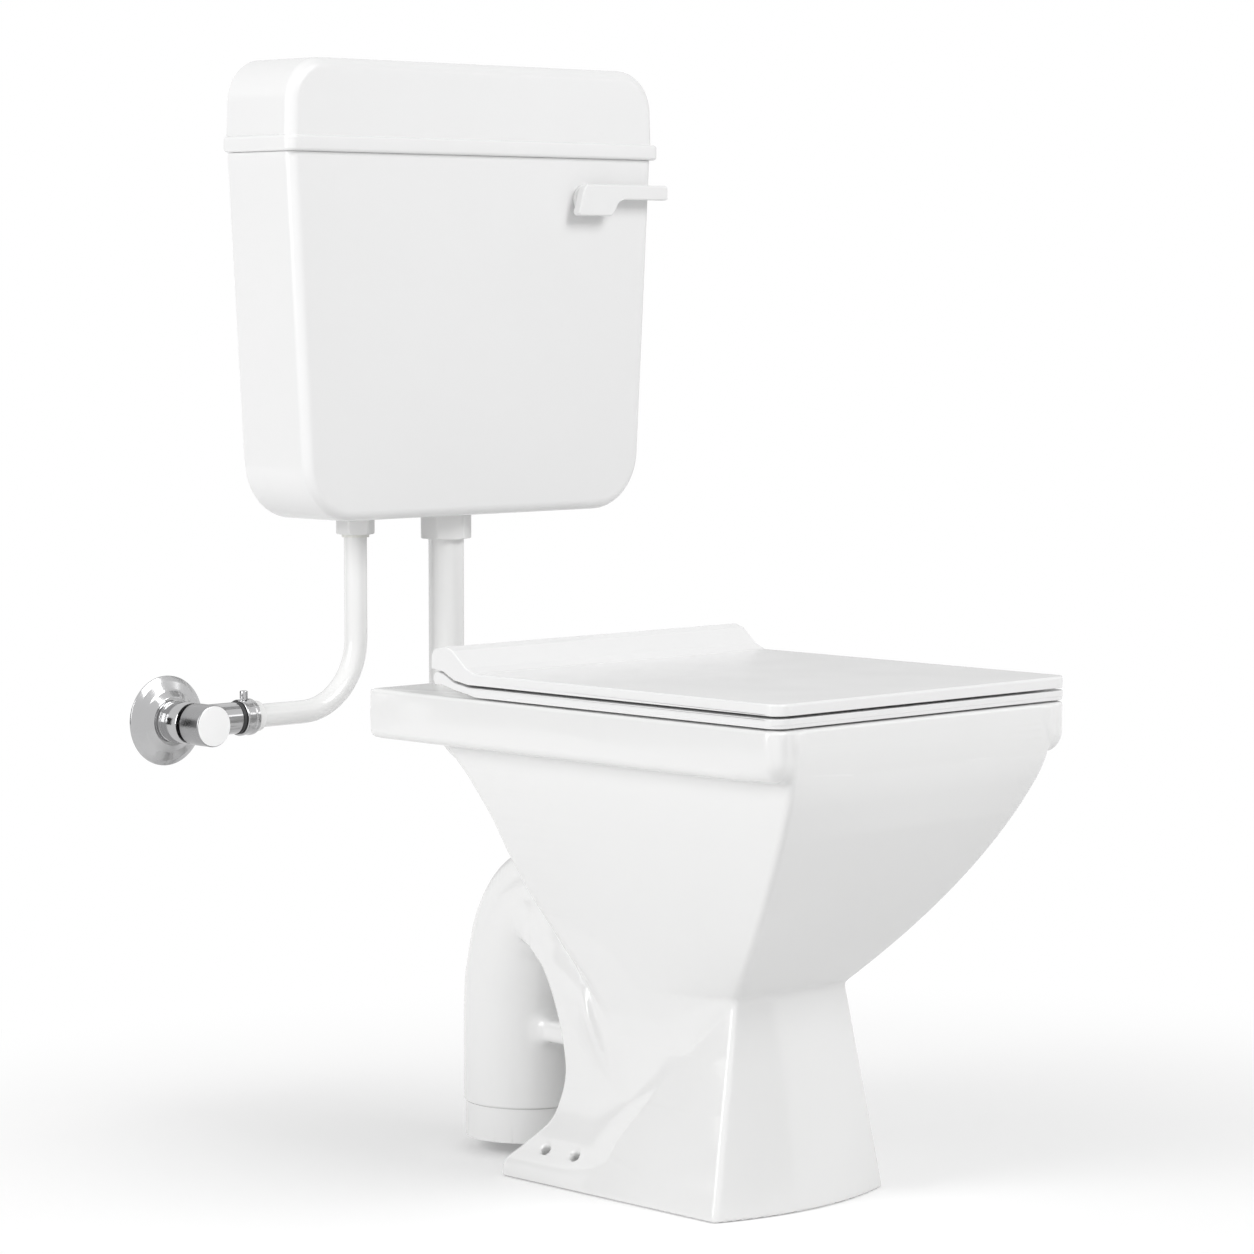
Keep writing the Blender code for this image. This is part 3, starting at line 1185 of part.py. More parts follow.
def make_valve(finish, rubber):
    floor = TANK_BOTTOM_Z + TANK_WALL
    seat_z = floor + GAP + WASHER_THICK + GAP
    centre = (VALVE_X, VALVE_Y, 0.0)
    step_z = INLET_PIPE_TOP_Z + OVERLAP
    profile = ((SHANK_BORE, SHANK_END_Z), (SHANK_RADIUS, SHANK_END_Z), (SHANK_RADIUS, seat_z),
               (VALVE_FLANGE_RADIUS, seat_z), (VALVE_FLANGE_RADIUS, seat_z + FLANGE_THICK),
               (STANDPIPE_RADIUS, seat_z + FLANGE_THICK), (STANDPIPE_RADIUS, HEAD_LOW_Z),
               (HEAD_RADIUS, HEAD_LOW_Z), (HEAD_RADIUS, HEAD_TOP_Z), (PISTON_BORE, HEAD_TOP_Z),
               (PISTON_BORE, PISTON_BORE_Z),
               (JET_BORE, PISTON_BORE_Z), (JET_BORE, JET_Z), (STANDPIPE_BORE, JET_Z),
               (STANDPIPE_BORE, step_z),
               (SHANK_BORE, step_z))
    stem = turned("valve_stem", profile, finish, centre=centre, closed=True)
    for side in (-1, 1):
        near = VALVE_Y + side * (FLOAT_ARM_HALF_DEPTH + GAP)
        far = near + side * FORK_THICK
        fork = box("valve fork", (PIVOT_X - FORK_HALF_WIDTH, min(near, far), HEAD_TOP_Z - OVERLAP),
                   (PIVOT_X + FORK_HALF_WIDTH, max(near, far), FORK_TOP_Z), finish)
        join(stem, fork)
    pin_hole = rod("fork hole", (PIVOT_X, VALVE_Y - FLOAT_PIN_HALF_LENGTH - CUT_PAST, PIVOT_Z),
                   (PIVOT_X, VALVE_Y + FLOAT_PIN_HALF_LENGTH + CUT_PAST, PIVOT_Z), FLOAT_PIN_RADIUS + GAP,
                    finish)
    port = rod("valve port", (VALVE_X, VALVE_Y, PORT_Z), (VALVE_X, VALVE_Y - HEAD_RADIUS - CUT_PAST, PORT_Z),
               PORT_RADIUS, finish)
    cut(stem, pin_hole, port)

    low = floor + GAP
    ring_of("valve_washer", SHANK_RADIUS + GAP, VALVE_FLANGE_RADIUS, low, low + WASHER_THICK, rubber,
            centre=centre)
    top = TANK_BOTTOM_Z - GAP
    nut = prism("valve_nut", hexagon(VALVE_NUT_FLATS, (VALVE_X, VALVE_Y)), "Z", VALVE_NUT_Z, top, finish,
                (VALVE_X, VALVE_Y, VALVE_NUT_Z))
    cut(nut, rod("valve nut bore", (VALVE_X, VALVE_Y, VALVE_NUT_Z - CUT_PAST),
                 (VALVE_X, VALVE_Y, top + CUT_PAST), SHANK_RADIUS + GAP, finish, STEPS))
    profile = ((PISTON_RADIUS, PISTON_LOW_Z), (PISTON_RADIUS, PISTON_TOP_Z),
               (PISTON_TIP_RADIUS, PISTON_TOP_Z),
               (PISTON_TIP_RADIUS, PIVOT_Z))
    turned("valve_piston", profile, finish, centre=centre, steps=FEW_STEPS)


def make_float(finish, metal):
    pivot = (PIVOT_X, VALVE_Y, PIVOT_Z)
    depth = FLOAT_ARM_HALF_DEPTH
    height = FLOAT_ARM_HALF_HEIGHT
    arm = box("float_arm", (PIVOT_X - FLOAT_ARM_LENGTH, VALVE_Y - depth, PIVOT_Z - height),
              (PIVOT_X + FLOAT_NOSE, VALVE_Y + depth, PIVOT_Z + height), finish, pivot)
    hub = rod("float hub", (PIVOT_X, VALVE_Y - depth, PIVOT_Z), (PIVOT_X, VALVE_Y + depth, PIVOT_Z),
              FLOAT_HUB_RADIUS, finish)
    reach = depth + CUT_PAST
    bore = rod("float bore", (PIVOT_X, VALVE_Y - reach, PIVOT_Z), (PIVOT_X, VALVE_Y + reach, PIVOT_Z),
               FLOAT_PIN_RADIUS + GAP, finish)
    join(arm, hub)
    cut(arm, bore)
    rod("float_pin", (PIVOT_X, VALVE_Y - FLOAT_PIN_HALF_LENGTH, PIVOT_Z),
        (PIVOT_X, VALVE_Y + FLOAT_PIN_HALF_LENGTH, PIVOT_Z), FLOAT_PIN_RADIUS, metal)

    x = PIVOT_X - FLOAT_OUT
    top = PIVOT_Z - FLOAT_DROP
    inner = FLOAT_RADIUS - FLOAT_WALL
    bottom = top - FLOAT_HEIGHT
    cup = turned("float", ((FLOAT_RADIUS, bottom), (FLOAT_RADIUS, top)), finish, centre=(x, VALVE_Y, 0.0),
                 origin=pivot)
    half = FLOAT_LUG_HALF
    lug = box("float lug", (x - half, VALVE_Y - half, top - FLOAT_WALL),
              (x + half, VALVE_Y + half, PIVOT_Z + half), finish)
    reach = half + CUT_PAST
    slot = box("float slot", (x - reach, VALVE_Y - depth - GAP, PIVOT_Z - height - GAP),
               (x + reach, VALVE_Y + depth + GAP, PIVOT_Z + height + GAP), finish)
    hollow = turned("float hollow", ((inner, bottom - CUT_PAST), (inner, top - FLOAT_WALL)), finish,
                    centre=(x, VALVE_Y, 0.0))
    for piece in (arm, cup, lug, slot, hollow):
        turn_about(piece, pivot, "Y", -FLOAT_REST_ANGLE)
    join(cup, lug)
    cut(cup, hollow, slot)


# Pipes


def make_pipes(finish, rubber):
    corner = (0.0, SIPHON_Y - FLUSH_BEND, HORN_Z + FLUSH_BEND)
    arc = bend(corner, FLUSH_BEND, 0.0, -math.pi / 2, (0.0, 1.0, 0.0), (0.0, 0.0, 1.0))
    path = [Vector((0.0, SIPHON_Y, FLUSH_PIPE_TOP_Z))] + arc + [Vector((0.0, FLUSH_PIPE_END_Y, HORN_Z))]
    pipe("flush_pipe", path, (1.0, 0.0, 0.0), FLUSH_PIPE_RADIUS, FLUSH_PIPE_WALL, finish)

    wide = HORN_RADIUS + GAP
    narrow = FLUSH_PIPE_RADIUS + GAP
    profile = ((wide, CONE_START_Y), (wide, CONE_STEP_Y), (narrow, CONE_NECK_Y), (narrow, CONE_END_Y),
               (narrow + CONE_WALL, CONE_END_Y), (narrow + CONE_WALL, CONE_NECK_Y),
               (wide + CONE_WALL, CONE_STEP_Y), (wide + CONE_WALL, CONE_START_Y))
    turned("flush_cone", profile, rubber, "Y", (0.0, 0.0, HORN_Z), closed=True)

    corner = (VALVE_X - INLET_BEND, VALVE_Y, COCK_Z + INLET_BEND)
    arc = bend(corner, INLET_BEND, 0.0, -math.pi / 2, (1.0, 0.0, 0.0), (0.0, 0.0, 1.0))
    path = [Vector((VALVE_X, VALVE_Y, INLET_PIPE_TOP_Z))] + arc + [Vector((COCK_PIPE_END_X, VALVE_Y, COCK_Z))]
    pipe("inlet_pipe", path, (0.0, 1.0, 0.0), INLET_PIPE_RADIUS, INLET_PIPE_WALL, finish)


# Stop cock


def make_cock(chrome, grey, white, dark):
    centre = (COCK_X, 0.0, COCK_Z)
    bore = COCK_RADIUS + GAP
    rim = COCK_FLANGE_RADIUS
    face = WALL_Y - COCK_FLANGE_DEPTH
    profile = ((bore, WALL_Y), (rim, WALL_Y), (rim, WALL_Y - COCK_FLANGE_RIM),
               (rim - COCK_FLANGE_STEP, WALL_Y - COCK_FLANGE_STEP), (COCK_NECK_RADIUS, face), (bore, face))
    turned("cock_flange", profile, chrome, "Y", centre, FINE_STEPS, True)

    deep = COCK_RADIUS - COCK_GROOVE_DEPTH
    near = COCK_GROOVE_Y - COCK_GROOVE_HALF
    far = COCK_GROOVE_Y + COCK_GROOVE_HALF
    floor = COCK_SEAM_Y + KNOB_STEM_LENGTH + RUN_GAP
    profile = ((COCK_RADIUS, COCK_SEAM_Y), (COCK_RADIUS, near), (deep, near), (deep, far), (COCK_RADIUS, far),
               (COCK_RADIUS, WALL_Y))
    body = turned("cock_body", profile, chrome, "Y", centre)
    outlet = rod("cock outlet", (COCK_X, VALVE_Y, COCK_Z), (COCK_OUTLET_X, VALVE_Y, COCK_Z),
                 COCK_OUTLET_RADIUS, chrome, STEPS)
    join(body, outlet)
    supply = rod("cock bore", (COCK_X, floor, COCK_Z), (COCK_X, WALL_Y + CUT_PAST, COCK_Z), COCK_BORE, chrome)
    stem = rod("stem bore", (COCK_X, COCK_SEAM_Y - CUT_PAST, COCK_Z), (COCK_X, floor + OVERLAP, COCK_Z),
               KNOB_STEM_RADIUS + GAP, chrome)
    end = (COCK_OUTLET_X + CUT_PAST, VALVE_Y, COCK_Z)
    side = rod("outlet bore", (COCK_X, VALVE_Y, COCK_Z), end, COCK_BORE, chrome)
    socket = rod("outlet socket", (COCK_PIPE_END_X - GAP, VALVE_Y, COCK_Z), end, INLET_PIPE_RADIUS + GAP,
                 chrome, STEPS)
    cut(body, supply, stem, side, socket)

    knob_back = COCK_SEAM_Y - GAP
    stem_end = COCK_SEAM_Y + KNOB_STEM_LENGTH
    profile = ((COCK_RADIUS - KNOB_EDGE, KNOB_END_Y), (COCK_RADIUS, KNOB_END_Y + KNOB_EDGE),
               (COCK_RADIUS, knob_back), (KNOB_STEM_RADIUS, knob_back), (KNOB_STEM_RADIUS, stem_end))
    turned("cock_knob", profile, grey, "Y", centre, origin=(COCK_X, COCK_SEAM_Y, COCK_Z))

    along = (0.0, VALVE_Y, COCK_Z)
    inner = INLET_PIPE_RADIUS + GAP
    ring_of("cock_seal", inner, SEAL_RADIUS, COCK_OUTLET_X + GAP, SEAL_X, dark, "X", along)
    clamp = ring_of("cock_clamp", inner, CLAMP_RADIUS, SEAL_X + GAP, CLAMP_X, chrome, "X", along)
    ring_of("cock_collar", inner, COLLAR_RADIUS, CLAMP_X + GAP, COLLAR_X, white, "X", along)
    middle = (SEAL_X + CLAMP_X) / 2
    top = COCK_Z + CLAMP_RADIUS
    cut(clamp, rod("screw hole", (middle, VALVE_Y, top - CLAMP_SCREW_HEAD), (middle, VALVE_Y, top + CUT_PAST),
                   CLAMP_SCREW_RADIUS + GAP, chrome))
    profile = ((CLAMP_SCREW_RADIUS, top - CLAMP_SCREW_HEAD + GAP), (CLAMP_SCREW_RADIUS, top + GAP),
               (CLAMP_SCREW_HEAD, top + GAP), (CLAMP_SCREW_HEAD, top + CLAMP_SCREW_LENGTH))
    turned("clamp_screw", profile, chrome, centre=(middle, VALVE_Y, 0.0), steps=FEW_STEPS)


def finish_objects():
    """Turns every drawn mesh the right way out and shades its round sides smooth."""
    for obj in bpy.data.objects:
        face_outward(obj)
        obj.data.shade_smooth()
        obj.data.set_sharp_from_angle(angle=SMOOTH_ANGLE)


def main():
    clear_scene()
    ceramic = material("Glazed ceramic", (0.90, 0.90, 0.895), 0.10, 0.0)
    plastic = material("White plastic", (0.90, 0.90, 0.90), 0.20, 0.0)
    fittings = material("White fittings", (0.86, 0.86, 0.86), 0.30, 0.0)
    works = material("Valve plastic", (0.80, 0.80, 0.79), 0.40, 0.0)
    chrome = material("Bright chrome", (0.82, 0.82, 0.83), 0.10, 1.0)
    grey = material("Satin chrome", (0.42, 0.42, 0.44), 0.28, 1.0)
    steel = material("Brushed steel", (0.62, 0.62, 0.63), 0.30, 1.0)
    brass = material("Yellow brass", (0.71, 0.54, 0.26), 0.30, 1.0)
    rubber = material("Black rubber", (0.03, 0.03, 0.03), 0.70, 0.0)
    pale_rubber = material("Pale rubber", (0.75, 0.75, 0.74), 0.60, 0.0)
    make_pan(ceramic)
    make_seat(plastic)
    make_lid(plastic)
    make_bumpers(pale_rubber)
    make_hinges(steel, rubber)
    make_tank(plastic)
    make_cover(plastic)
    make_lever(plastic, brass)
    make_siphon(works, rubber)
    make_flush_nut(fittings)
    make_plunger(works, rubber, brass)
    make_valve(works, rubber)
    make_float(works, brass)
    make_pipes(fittings, rubber)
    make_cock(chrome, grey, fittings, rubber)
    finish_objects()


main()
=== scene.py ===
"""Dressed model of a low-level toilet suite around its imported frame.

Lengths are metres. A place written as "back" is counted from the front face of the rim, as in the part's
source; the frame's origin lies ORIGIN_BACK behind that face, on the underside of the foot.
"""
import math

import bmesh
import bpy
import numpy as np
from mathutils import Matrix, Vector


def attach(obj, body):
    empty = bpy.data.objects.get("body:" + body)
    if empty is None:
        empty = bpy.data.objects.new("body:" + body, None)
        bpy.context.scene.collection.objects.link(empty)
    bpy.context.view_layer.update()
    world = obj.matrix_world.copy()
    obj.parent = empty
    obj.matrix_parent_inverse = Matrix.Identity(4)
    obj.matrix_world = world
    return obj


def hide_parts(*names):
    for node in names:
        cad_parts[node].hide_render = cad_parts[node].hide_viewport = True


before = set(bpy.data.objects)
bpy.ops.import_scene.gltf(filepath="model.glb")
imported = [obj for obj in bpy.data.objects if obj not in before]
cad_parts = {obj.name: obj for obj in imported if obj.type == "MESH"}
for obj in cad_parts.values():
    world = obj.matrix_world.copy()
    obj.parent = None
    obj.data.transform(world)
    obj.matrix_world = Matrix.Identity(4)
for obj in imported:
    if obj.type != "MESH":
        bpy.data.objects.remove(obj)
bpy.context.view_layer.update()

bl_info = {
    "name": "Toilet Suite",
    "version": (1, 0, 0),
    "blender": (4, 5, 0),
    "location": "3D View > Sidebar > Toilet",
    "description": "Makes the visible pieces of a low-level toilet suite around its frame",
    "category": "Object",
}

# Frame
ORIGIN_BACK = 0.133
GAP = 0.0003

# Pan: rim slab, bowl and pedestal
RIM_Z = 0.410
SLAB_LOW_Z = 0.3683
SLAB_HALF_WIDTH = 0.1708
SLAB_LENGTH = 0.4727
SLAB_CORNERS = (0.013, 0.004)
BOWL_TOP_Z = 0.3700
SHOULDER_Z = 0.174
SHOULDER_BACK = 0.1466
SHOULDER_HALF_WIDTH = 0.065
BOWL_TOP_HALF_WIDTH = 0.1505
BOWL_WAIST_HALF_WIDTH = 0.085
FACE_TOP_BACK = 0.0
FACE_START = 0.12
FACE_BULGE = 0.006
FACE_EASE = 0.58
WIDTH_EASE = 0.42
SIDE_EASE = 0.45
BOWL_REAR = ((0.110, 0.284), (0.150, 0.289), (0.174, 0.301), (0.199, 0.320), (0.234, 0.344),
             (0.277, 0.361), (0.307, 0.370), (0.336, 0.385), (0.350, 0.395), (0.370, 0.413))
BOWL_LOW = ((0.110, 0.066), (0.131, 0.0745), (0.150, 0.0785), (0.174, 0.085))
BOWL_FOOT_Z = 0.110
CREASE_SLOPE = 0.98
FOOT_FRONT_BACK = 0.1358
FOOT_HALF_WIDTH = 0.0995
FOOT_BULGE = 0.019
CREASE_LINE = ((0.0, 0.292), (0.018, 0.282), (0.026, 0.268), (0.049, 0.256), (0.086, 0.226), (0.131, 0.188),
               (0.165, 0.153), (0.174, 0.147))
CREASE_RUN = ((0.0, 0.060), (0.040, 0.052), (0.100, 0.040), (0.174, 0.030))
LIMB_SIDE = ((0.0, 0.0995), (0.016, 0.0990), (0.026, 0.0893), (0.036, 0.0825), (0.050, 0.0780),
             (0.070, 0.0757), (0.140, 0.0750), (0.160, 0.0725), (0.178, 0.0655), (0.196, 0.0540),
             (0.230, 0.0400))
LIMB_REAR = ((0.0, 0.390), (0.011, 0.387), (0.028, 0.374), (0.050, 0.352), (0.069, 0.343), (0.086, 0.338),
             (0.103, 0.338), (0.135, 0.346), (0.163, 0.360), (0.176, 0.371), (0.184, 0.384), (0.192, 0.400))
LIMB_TOP = ((0.100, 0.176), (0.235, 0.176), (0.284, 0.176), (0.316, 0.186), (0.350, 0.198), (0.400, 0.204))
RIDGE_START = (0.3150, 0.1900)
RIDGE_END = (0.2750, 0.0850)
RIDGE_HEIGHT = 0.0045
RIDGE_FLANKS = (0.012, 0.0034)

# Pan: trap, outlet, strut and horn
TRAP_LINE = ((0.2350, 0.101, 0.070, 0.048), (0.2840, 0.150, 0.078, 0.050), (0.3160, 0.184, 0.0755, 0.050),
             (0.3500, 0.214, 0.070, 0.049), (0.3900, 0.228, 0.061, 0.047), (0.4250, 0.218, 0.057, 0.050),
             (0.4480, 0.193, 0.055, 0.053), (0.4590, 0.160, 0.0546, 0.0546), (0.4636, 0.125, 0.0546, 0.0546),
             (0.4636, 0.010, 0.0546, 0.0546))
OUTLET_BACK = 0.4636
OUTLET_RING_Z = 0.043
OUTLET_RADIUS = 0.0533
OUTLET_STEP = 0.0013
OUTLET_Z = 0.012
STRUT_MIDDLE = (0.375, 0.1105)
STRUT_HALF = (0.030, 0.050, 0.0095)
HORN_Z = 0.340
HORN_RADIUS = 0.022
HORN_BORE = 0.0165
HORN_BACK = (0.385, 0.490)
HORN_BORE_START = 0.320

# Pan: inside
WELL_ROWS = ((0.067, 0.172, 0.225, 0.024), (0.080, 0.172, 0.238, 0.042), (0.110, 0.172, 0.240, 0.052),
             (0.143, 0.172, 0.236, 0.060), (0.174, 0.1666, 0.243, 0.069), (0.210, 0.1316, 0.275, 0.083),
             (0.250, 0.0975, 0.304, 0.099), (0.300, 0.0595, 0.330, 0.118), (0.345, 0.030, 0.343, 0.133),
             (0.366, 0.024, 0.344, 0.135), (0.376, 0.034, 0.310, 0.121), (0.415, 0.036, 0.306, 0.118))
WELL_POWER = 2.5
WATERWAY_RADIUS = 0.036
WATERWAY_LINE = ((0.2050, 0.106), (0.2350, 0.107), (0.2640, 0.128), (0.3000, 0.164), (0.3420, 0.204),
                 (0.3900, 0.229), (0.4320, 0.207), (0.4560, 0.165), (0.4636, 0.120), (0.4636, -0.010))
RECESS_HALF_WIDTH = 0.076
RECESS_BACK = (0.150, 0.326)
RECESS_DEPTH = 0.043
FIXING_RADIUS = 0.0045
FIXING_BACK = (0.309, 0.345)
FIXING_X = 0.088
FIXING_Z = 0.026
FIXING_TILT = math.radians(42)
FIXING_REACH = 0.035
SOCKET_RADIUS = 0.0075
SOCKET_DEPTH = 0.042

RIM_EDGE = 0.0032
SLAB_EDGE = 0.008
SLAB_FRONT_EDGE = 0.010
SLAB_MIDDLE_EDGE = 0.0165
SLAB_HIDDEN = 0.70
FRONT_DEPTH = 0.05
FRONT_BLEND = 0.014
FACE_EDGE = 0.0042
BOWL_REAR_EDGE = 0.015
BOWL_UNDER_RIM = 0.004
BOWL_WIDENING = 0.65
FOOT_EDGE = 0.0035
LIMB_EDGE = 0.005
SOLE_EDGE = 0.0022
SLAB_FILLET = 0.004
FOOT_FILLET = 0.0035
SMALL_FILLET = 0.004
NECK_FILLET = 0.009
NECK_GROWTH = 0.014
NECK_LOW_Z = 0.150
NECK_RISE = 0.050
OUTLET_EDGE = 0.0015
STRUT_EDGE = 0.006
HOLLOW_EDGE = 0.0022
WELL_EDGE = 0.010
PAN_REACH = ((-0.1745, -0.1365, -0.004), (0.1745, 0.390, 0.414))

# Seat and lid
PLATE_HALF_WIDTH = 0.170
PLATE_FRONT = -0.001
PLATE_CORNER = 0.013
CORNER_SHARES = (1.0, 0.86, 0.72, 0.58, 0.45, 0.33, 0.22, 0.13, 0.06, 0.02)
GAP_EDGE = 0.0007
END_EDGE = 0.0011
SKIRT_LOW_Z = 0.4114
SKIRT_WIDTH = 0.004
SKIRT_REAR = (0.338, 0.367)
SKIRT_RISE = 0.0055
SEAT_UNDER = ((-0.001, 0.4133), (0.350, 0.4133), (0.367, 0.4160), (0.3815, 0.4193))
SEAT_OVER = ((0.3800, 0.4282), (0.366, 0.4216), (0.349, 0.4189), (-0.001, 0.4189))
LID_UNDER = ((-0.001, 0.4211), (0.350, 0.4211), (0.367, 0.4238), (0.3800, 0.4300), (0.3942, 0.4318))
LID_OVER = ((0.3942, 0.4430), (0.391, 0.4480), (0.377, 0.4507), (0.368, 0.4478), (0.352, 0.4348),
            (0.342, 0.4304), (-0.001, 0.4304))
LID_ROUNDS = {(0.3942, 0.4318): 0.0013, (0.3942, 0.4430): 0.0016, (0.391, 0.4480): 0.003,
              (0.377, 0.4507): 0.0014, (0.368, 0.4478): 0.004, (0.352, 0.4348): 0.010, (0.342, 0.4304): 0.016,
              (0.350, 0.4211): 0.008, (0.367, 0.4238): 0.006, (0.3800, 0.4300): 0.004}
SEAT_HOLE_HALF_WIDTH = 0.110
SEAT_HOLE_BACK = (0.042, 0.312)
HINGE_BACK = 0.386
HINGE_Z = 0.424
HINGE_X = 0.0775
SEAT_NOSE_RADIUS = 0.006
SEAT_NOSE_TURN = (math.radians(-55), math.radians(75))
WEB_HALF = 0.0045
WEB_TOP_Z = 0.434
LUG_HALF = 0.0055
BARREL_RADIUS = 0.0055
LUG_X = (0.0725, 0.0824)
LID_BARREL_X = (0.0603, 0.0722)
SEAT_BARREL_X = (0.0827, 0.0975)
SEAT_NOTCH_X = (0.0598, 0.0827)
SEAT_NOTCH_BACK = 0.372
POST_BACK = 0.388
POST_RADIUS = 0.017
POST_PLATE = 0.002
POST_BORE = 0.0034
POST_EDGE = 0.0007
STUD_RADIUS = 0.003
STUD_LENGTH = 0.037
PAD_RADIUS = 0.007
PAD_EDGE = 0.0009
SEAT_PAD_X = 0.135
SEAT_PAD_BACK = (0.028, 0.330)
SEAT_PAD_Z = (0.4103, 0.4130)
LID_PAD_X = 0.145
LID_PAD_BACK = 0.022
LID_PAD_Z = (0.4203, 0.4228)
LID_POCKET_Z = (0.4200, 0.4231)

# Cistern
TANK_FRONT = 0.522
WALL_BACK = 0.6055
TANK_WALL = 0.004
SIPHON_HOLE_RADIUS = 0.0165
VALVE_HOLE_RADIUS = 0.0103
TANK_LOW_Z = 0.546
TANK_TOP_Z = 0.8562
TANK_TOP_HALF = 0.210
TANK_LOW_HALF = 0.1912
TANK_CORNER = 0.052
TANK_EDGE = 0.009
BAND_OUT = 0.0045
BAND_HEIGHT = 0.0135
BAND_EDGE = 0.0028
COVER_HALF = 0.2115
COVER_TAPER = 0.003
COVER_FRONT = 0.521
COVER_TOP_Z = 0.935
COVER_CORNER = 0.037
COVER_EDGE = 0.010
TAB_X = 0.110
TAB_HALF = 0.015
TAB_DEPTH = 0.010
TAB_THICK = 0.003
HANG_HOLE_X = 0.120
HANG_HOLE_Z = 0.785
HANG_HOLE_RADIUS = 0.005

# Flush lever
LEVER_X = 0.124
LEVER_Z = 0.820
LEVER_FRONT = 0.5065
LEVER_THICK = 0.0085
LEVER_EDGE = 0.0016
LEVER_OUTLINE = ((-0.0100, 0.0136, 0.002), (-0.0135, 0.0100, 0.002), (-0.0200, -0.0115, 0.002),
                 (-0.0180, -0.0140, 0.002), (0.0200, -0.0140, 0.003), (0.0250, -0.0095, 0.008),
                 (0.0285, -0.0020, 0.008), (0.0360, 0.0005, 0.006), (0.0895, 0.0005, 0.0022),
                 (0.0895, 0.0136, 0.0026))
LEVER_BOSS_RADIUS = 0.009
LEVER_BOSS_END = 0.5172
SPINDLE_RADIUS = 0.004
SPINDLE_END = 0.576
BUSH_FLANGE_RADIUS = 0.0135
BUSH_RADIUS = 0.009
BUSH_END = 0.540

# Nuts and pipes
SIPHON_BACK = 0.567
VALVE_X = -0.093
VALVE_BACK = 0.580
FLUSH_NUT_FLATS = 0.040
FLUSH_NUT_Z = 0.524
VALVE_NUT_FLATS = 0.030
VALVE_NUT_Z = 0.531
LEVER_NUT_FLATS = 0.026
LEVER_NUT_THICK = 0.007
FLUSH_PIPE_RADIUS = 0.0155
FLUSH_BEND = 0.045
FLUSH_PIPE_END = 0.468
FLUSH_PIPE_TOP_Z = 0.541
INLET_PIPE_TOP_Z = 0.540
INLET_PIPE_RADIUS = 0.0099
INLET_BEND = 0.060
COCK_PIPE_END_X = -0.2330
CONE_BACK = (0.470, 0.4905, 0.501, 0.512)
CONE_WALL = 0.003

# Stop cock
COCK_X = -0.281
COCK_Z = 0.381
COCK_RADIUS = 0.0175
COCK_SEAM = 0.565
COCK_GROOVE = 0.591
KNOB_FRONT = 0.5395
GROOVE_DEPTH = 0.0010
FLANGE_RADIUS = 0.0378
FLANGE_DEPTH = 0.011
BRANCH_RADIUS = 0.0135
SEAL_RADIUS = 0.0140
COLLAR_RADIUS = 0.0130
CLAMP_RADIUS = 0.0155
CLAMP_WAIST = 0.0150
SCREW_RADIUS = 0.0020
SCREW_HEAD_RADIUS = 0.0035
OUTLET_FACE_X = -0.2280
SEAL_X = -0.2245
CLAMP_X = -0.2105
COLLAR_X = -0.2020

# Roundness and mesh density, and how far a cutter reaches past a face
CUT_PAST = 0.02
FIELD_STEP = 0.0025
PAN_TRIANGLES = 190000
TURN_STEPS = 72
NUT_STEPS = 96
FINE_ANGLE = math.radians(32)
PIPE_STEPS = 48

# Camera
CAMERA_PLACE = (-2.4283, -2.3085, 0.7500)
CAMERA_HEADING = math.radians(44.005)
CAMERA_PITCH = math.radians(4.752)
CAMERA_LENS = 120.0
CAMERA_SENSOR = 36.0

# Studio: floor, lamps (place, target, size) and mirrored cards (centre, half width, half height, glow)
FLOOR_Z = -0.0005
FLOOR_HALF = 30
FLOOR_FADE = (0.30, 1.10)
KEY_LAMP = ((-3.0, 0.6, 1.5), (0, 0.2, 0.5), (1.2, 2.2))
FILL_LAMP = ((0.5, -2.7, 3.0), (0, 0.3, 0.65), (2.2, 1.8))
CARD_GLOWS = {"dark": 0.02, "grey": 0.60, "bright": 2.2}
CARDS = (("high", (2.1, -1.8, 1.40), (0.35, 0.40, 0), 0.40, "bright"),
         ("left", (-2.3, 2.9, 0.75), (0.75, 0.55, 0), 0.75, "dark"),
         ("right", (0.9, -2.7, 0.20), (0.8, 0.34, 0), 0.19, "dark"),
         ("far", (1.7, 1.8, 0.80), (0.95, -0.90, 0), 0.60, "grey"))


# Shape helpers


def from_table(table, at):
    """Smooth value of a two-column table, for a number or an array, with its ends held."""
    rows = np.array(table, float)
    xs, ys = rows[:, 0], rows[:, 1]
    slopes = np.empty(len(xs))
    slopes[1:-1] = (ys[2:] - ys[:-2]) / (xs[2:] - xs[:-2])
    slopes[0] = (ys[1] - ys[0]) / (xs[1] - xs[0])
    slopes[-1] = (ys[-1] - ys[-2]) / (xs[-1] - xs[-2])
    at = np.clip(at, xs[0], xs[-1])
    place = np.clip(np.searchsorted(xs, at, side="right") - 1, 0, len(xs) - 2)
    width = xs[place + 1] - xs[place]
    share = (at - xs[place]) / width
    rise = share * share * (3 - 2 * share)
    lift = share * (1 - share) ** 2 * width * slopes[place]
    drop = share * share * (share - 1) * width * slopes[place + 1]
    return ys[place] * (1 - rise) + ys[place + 1] * rise + lift + drop


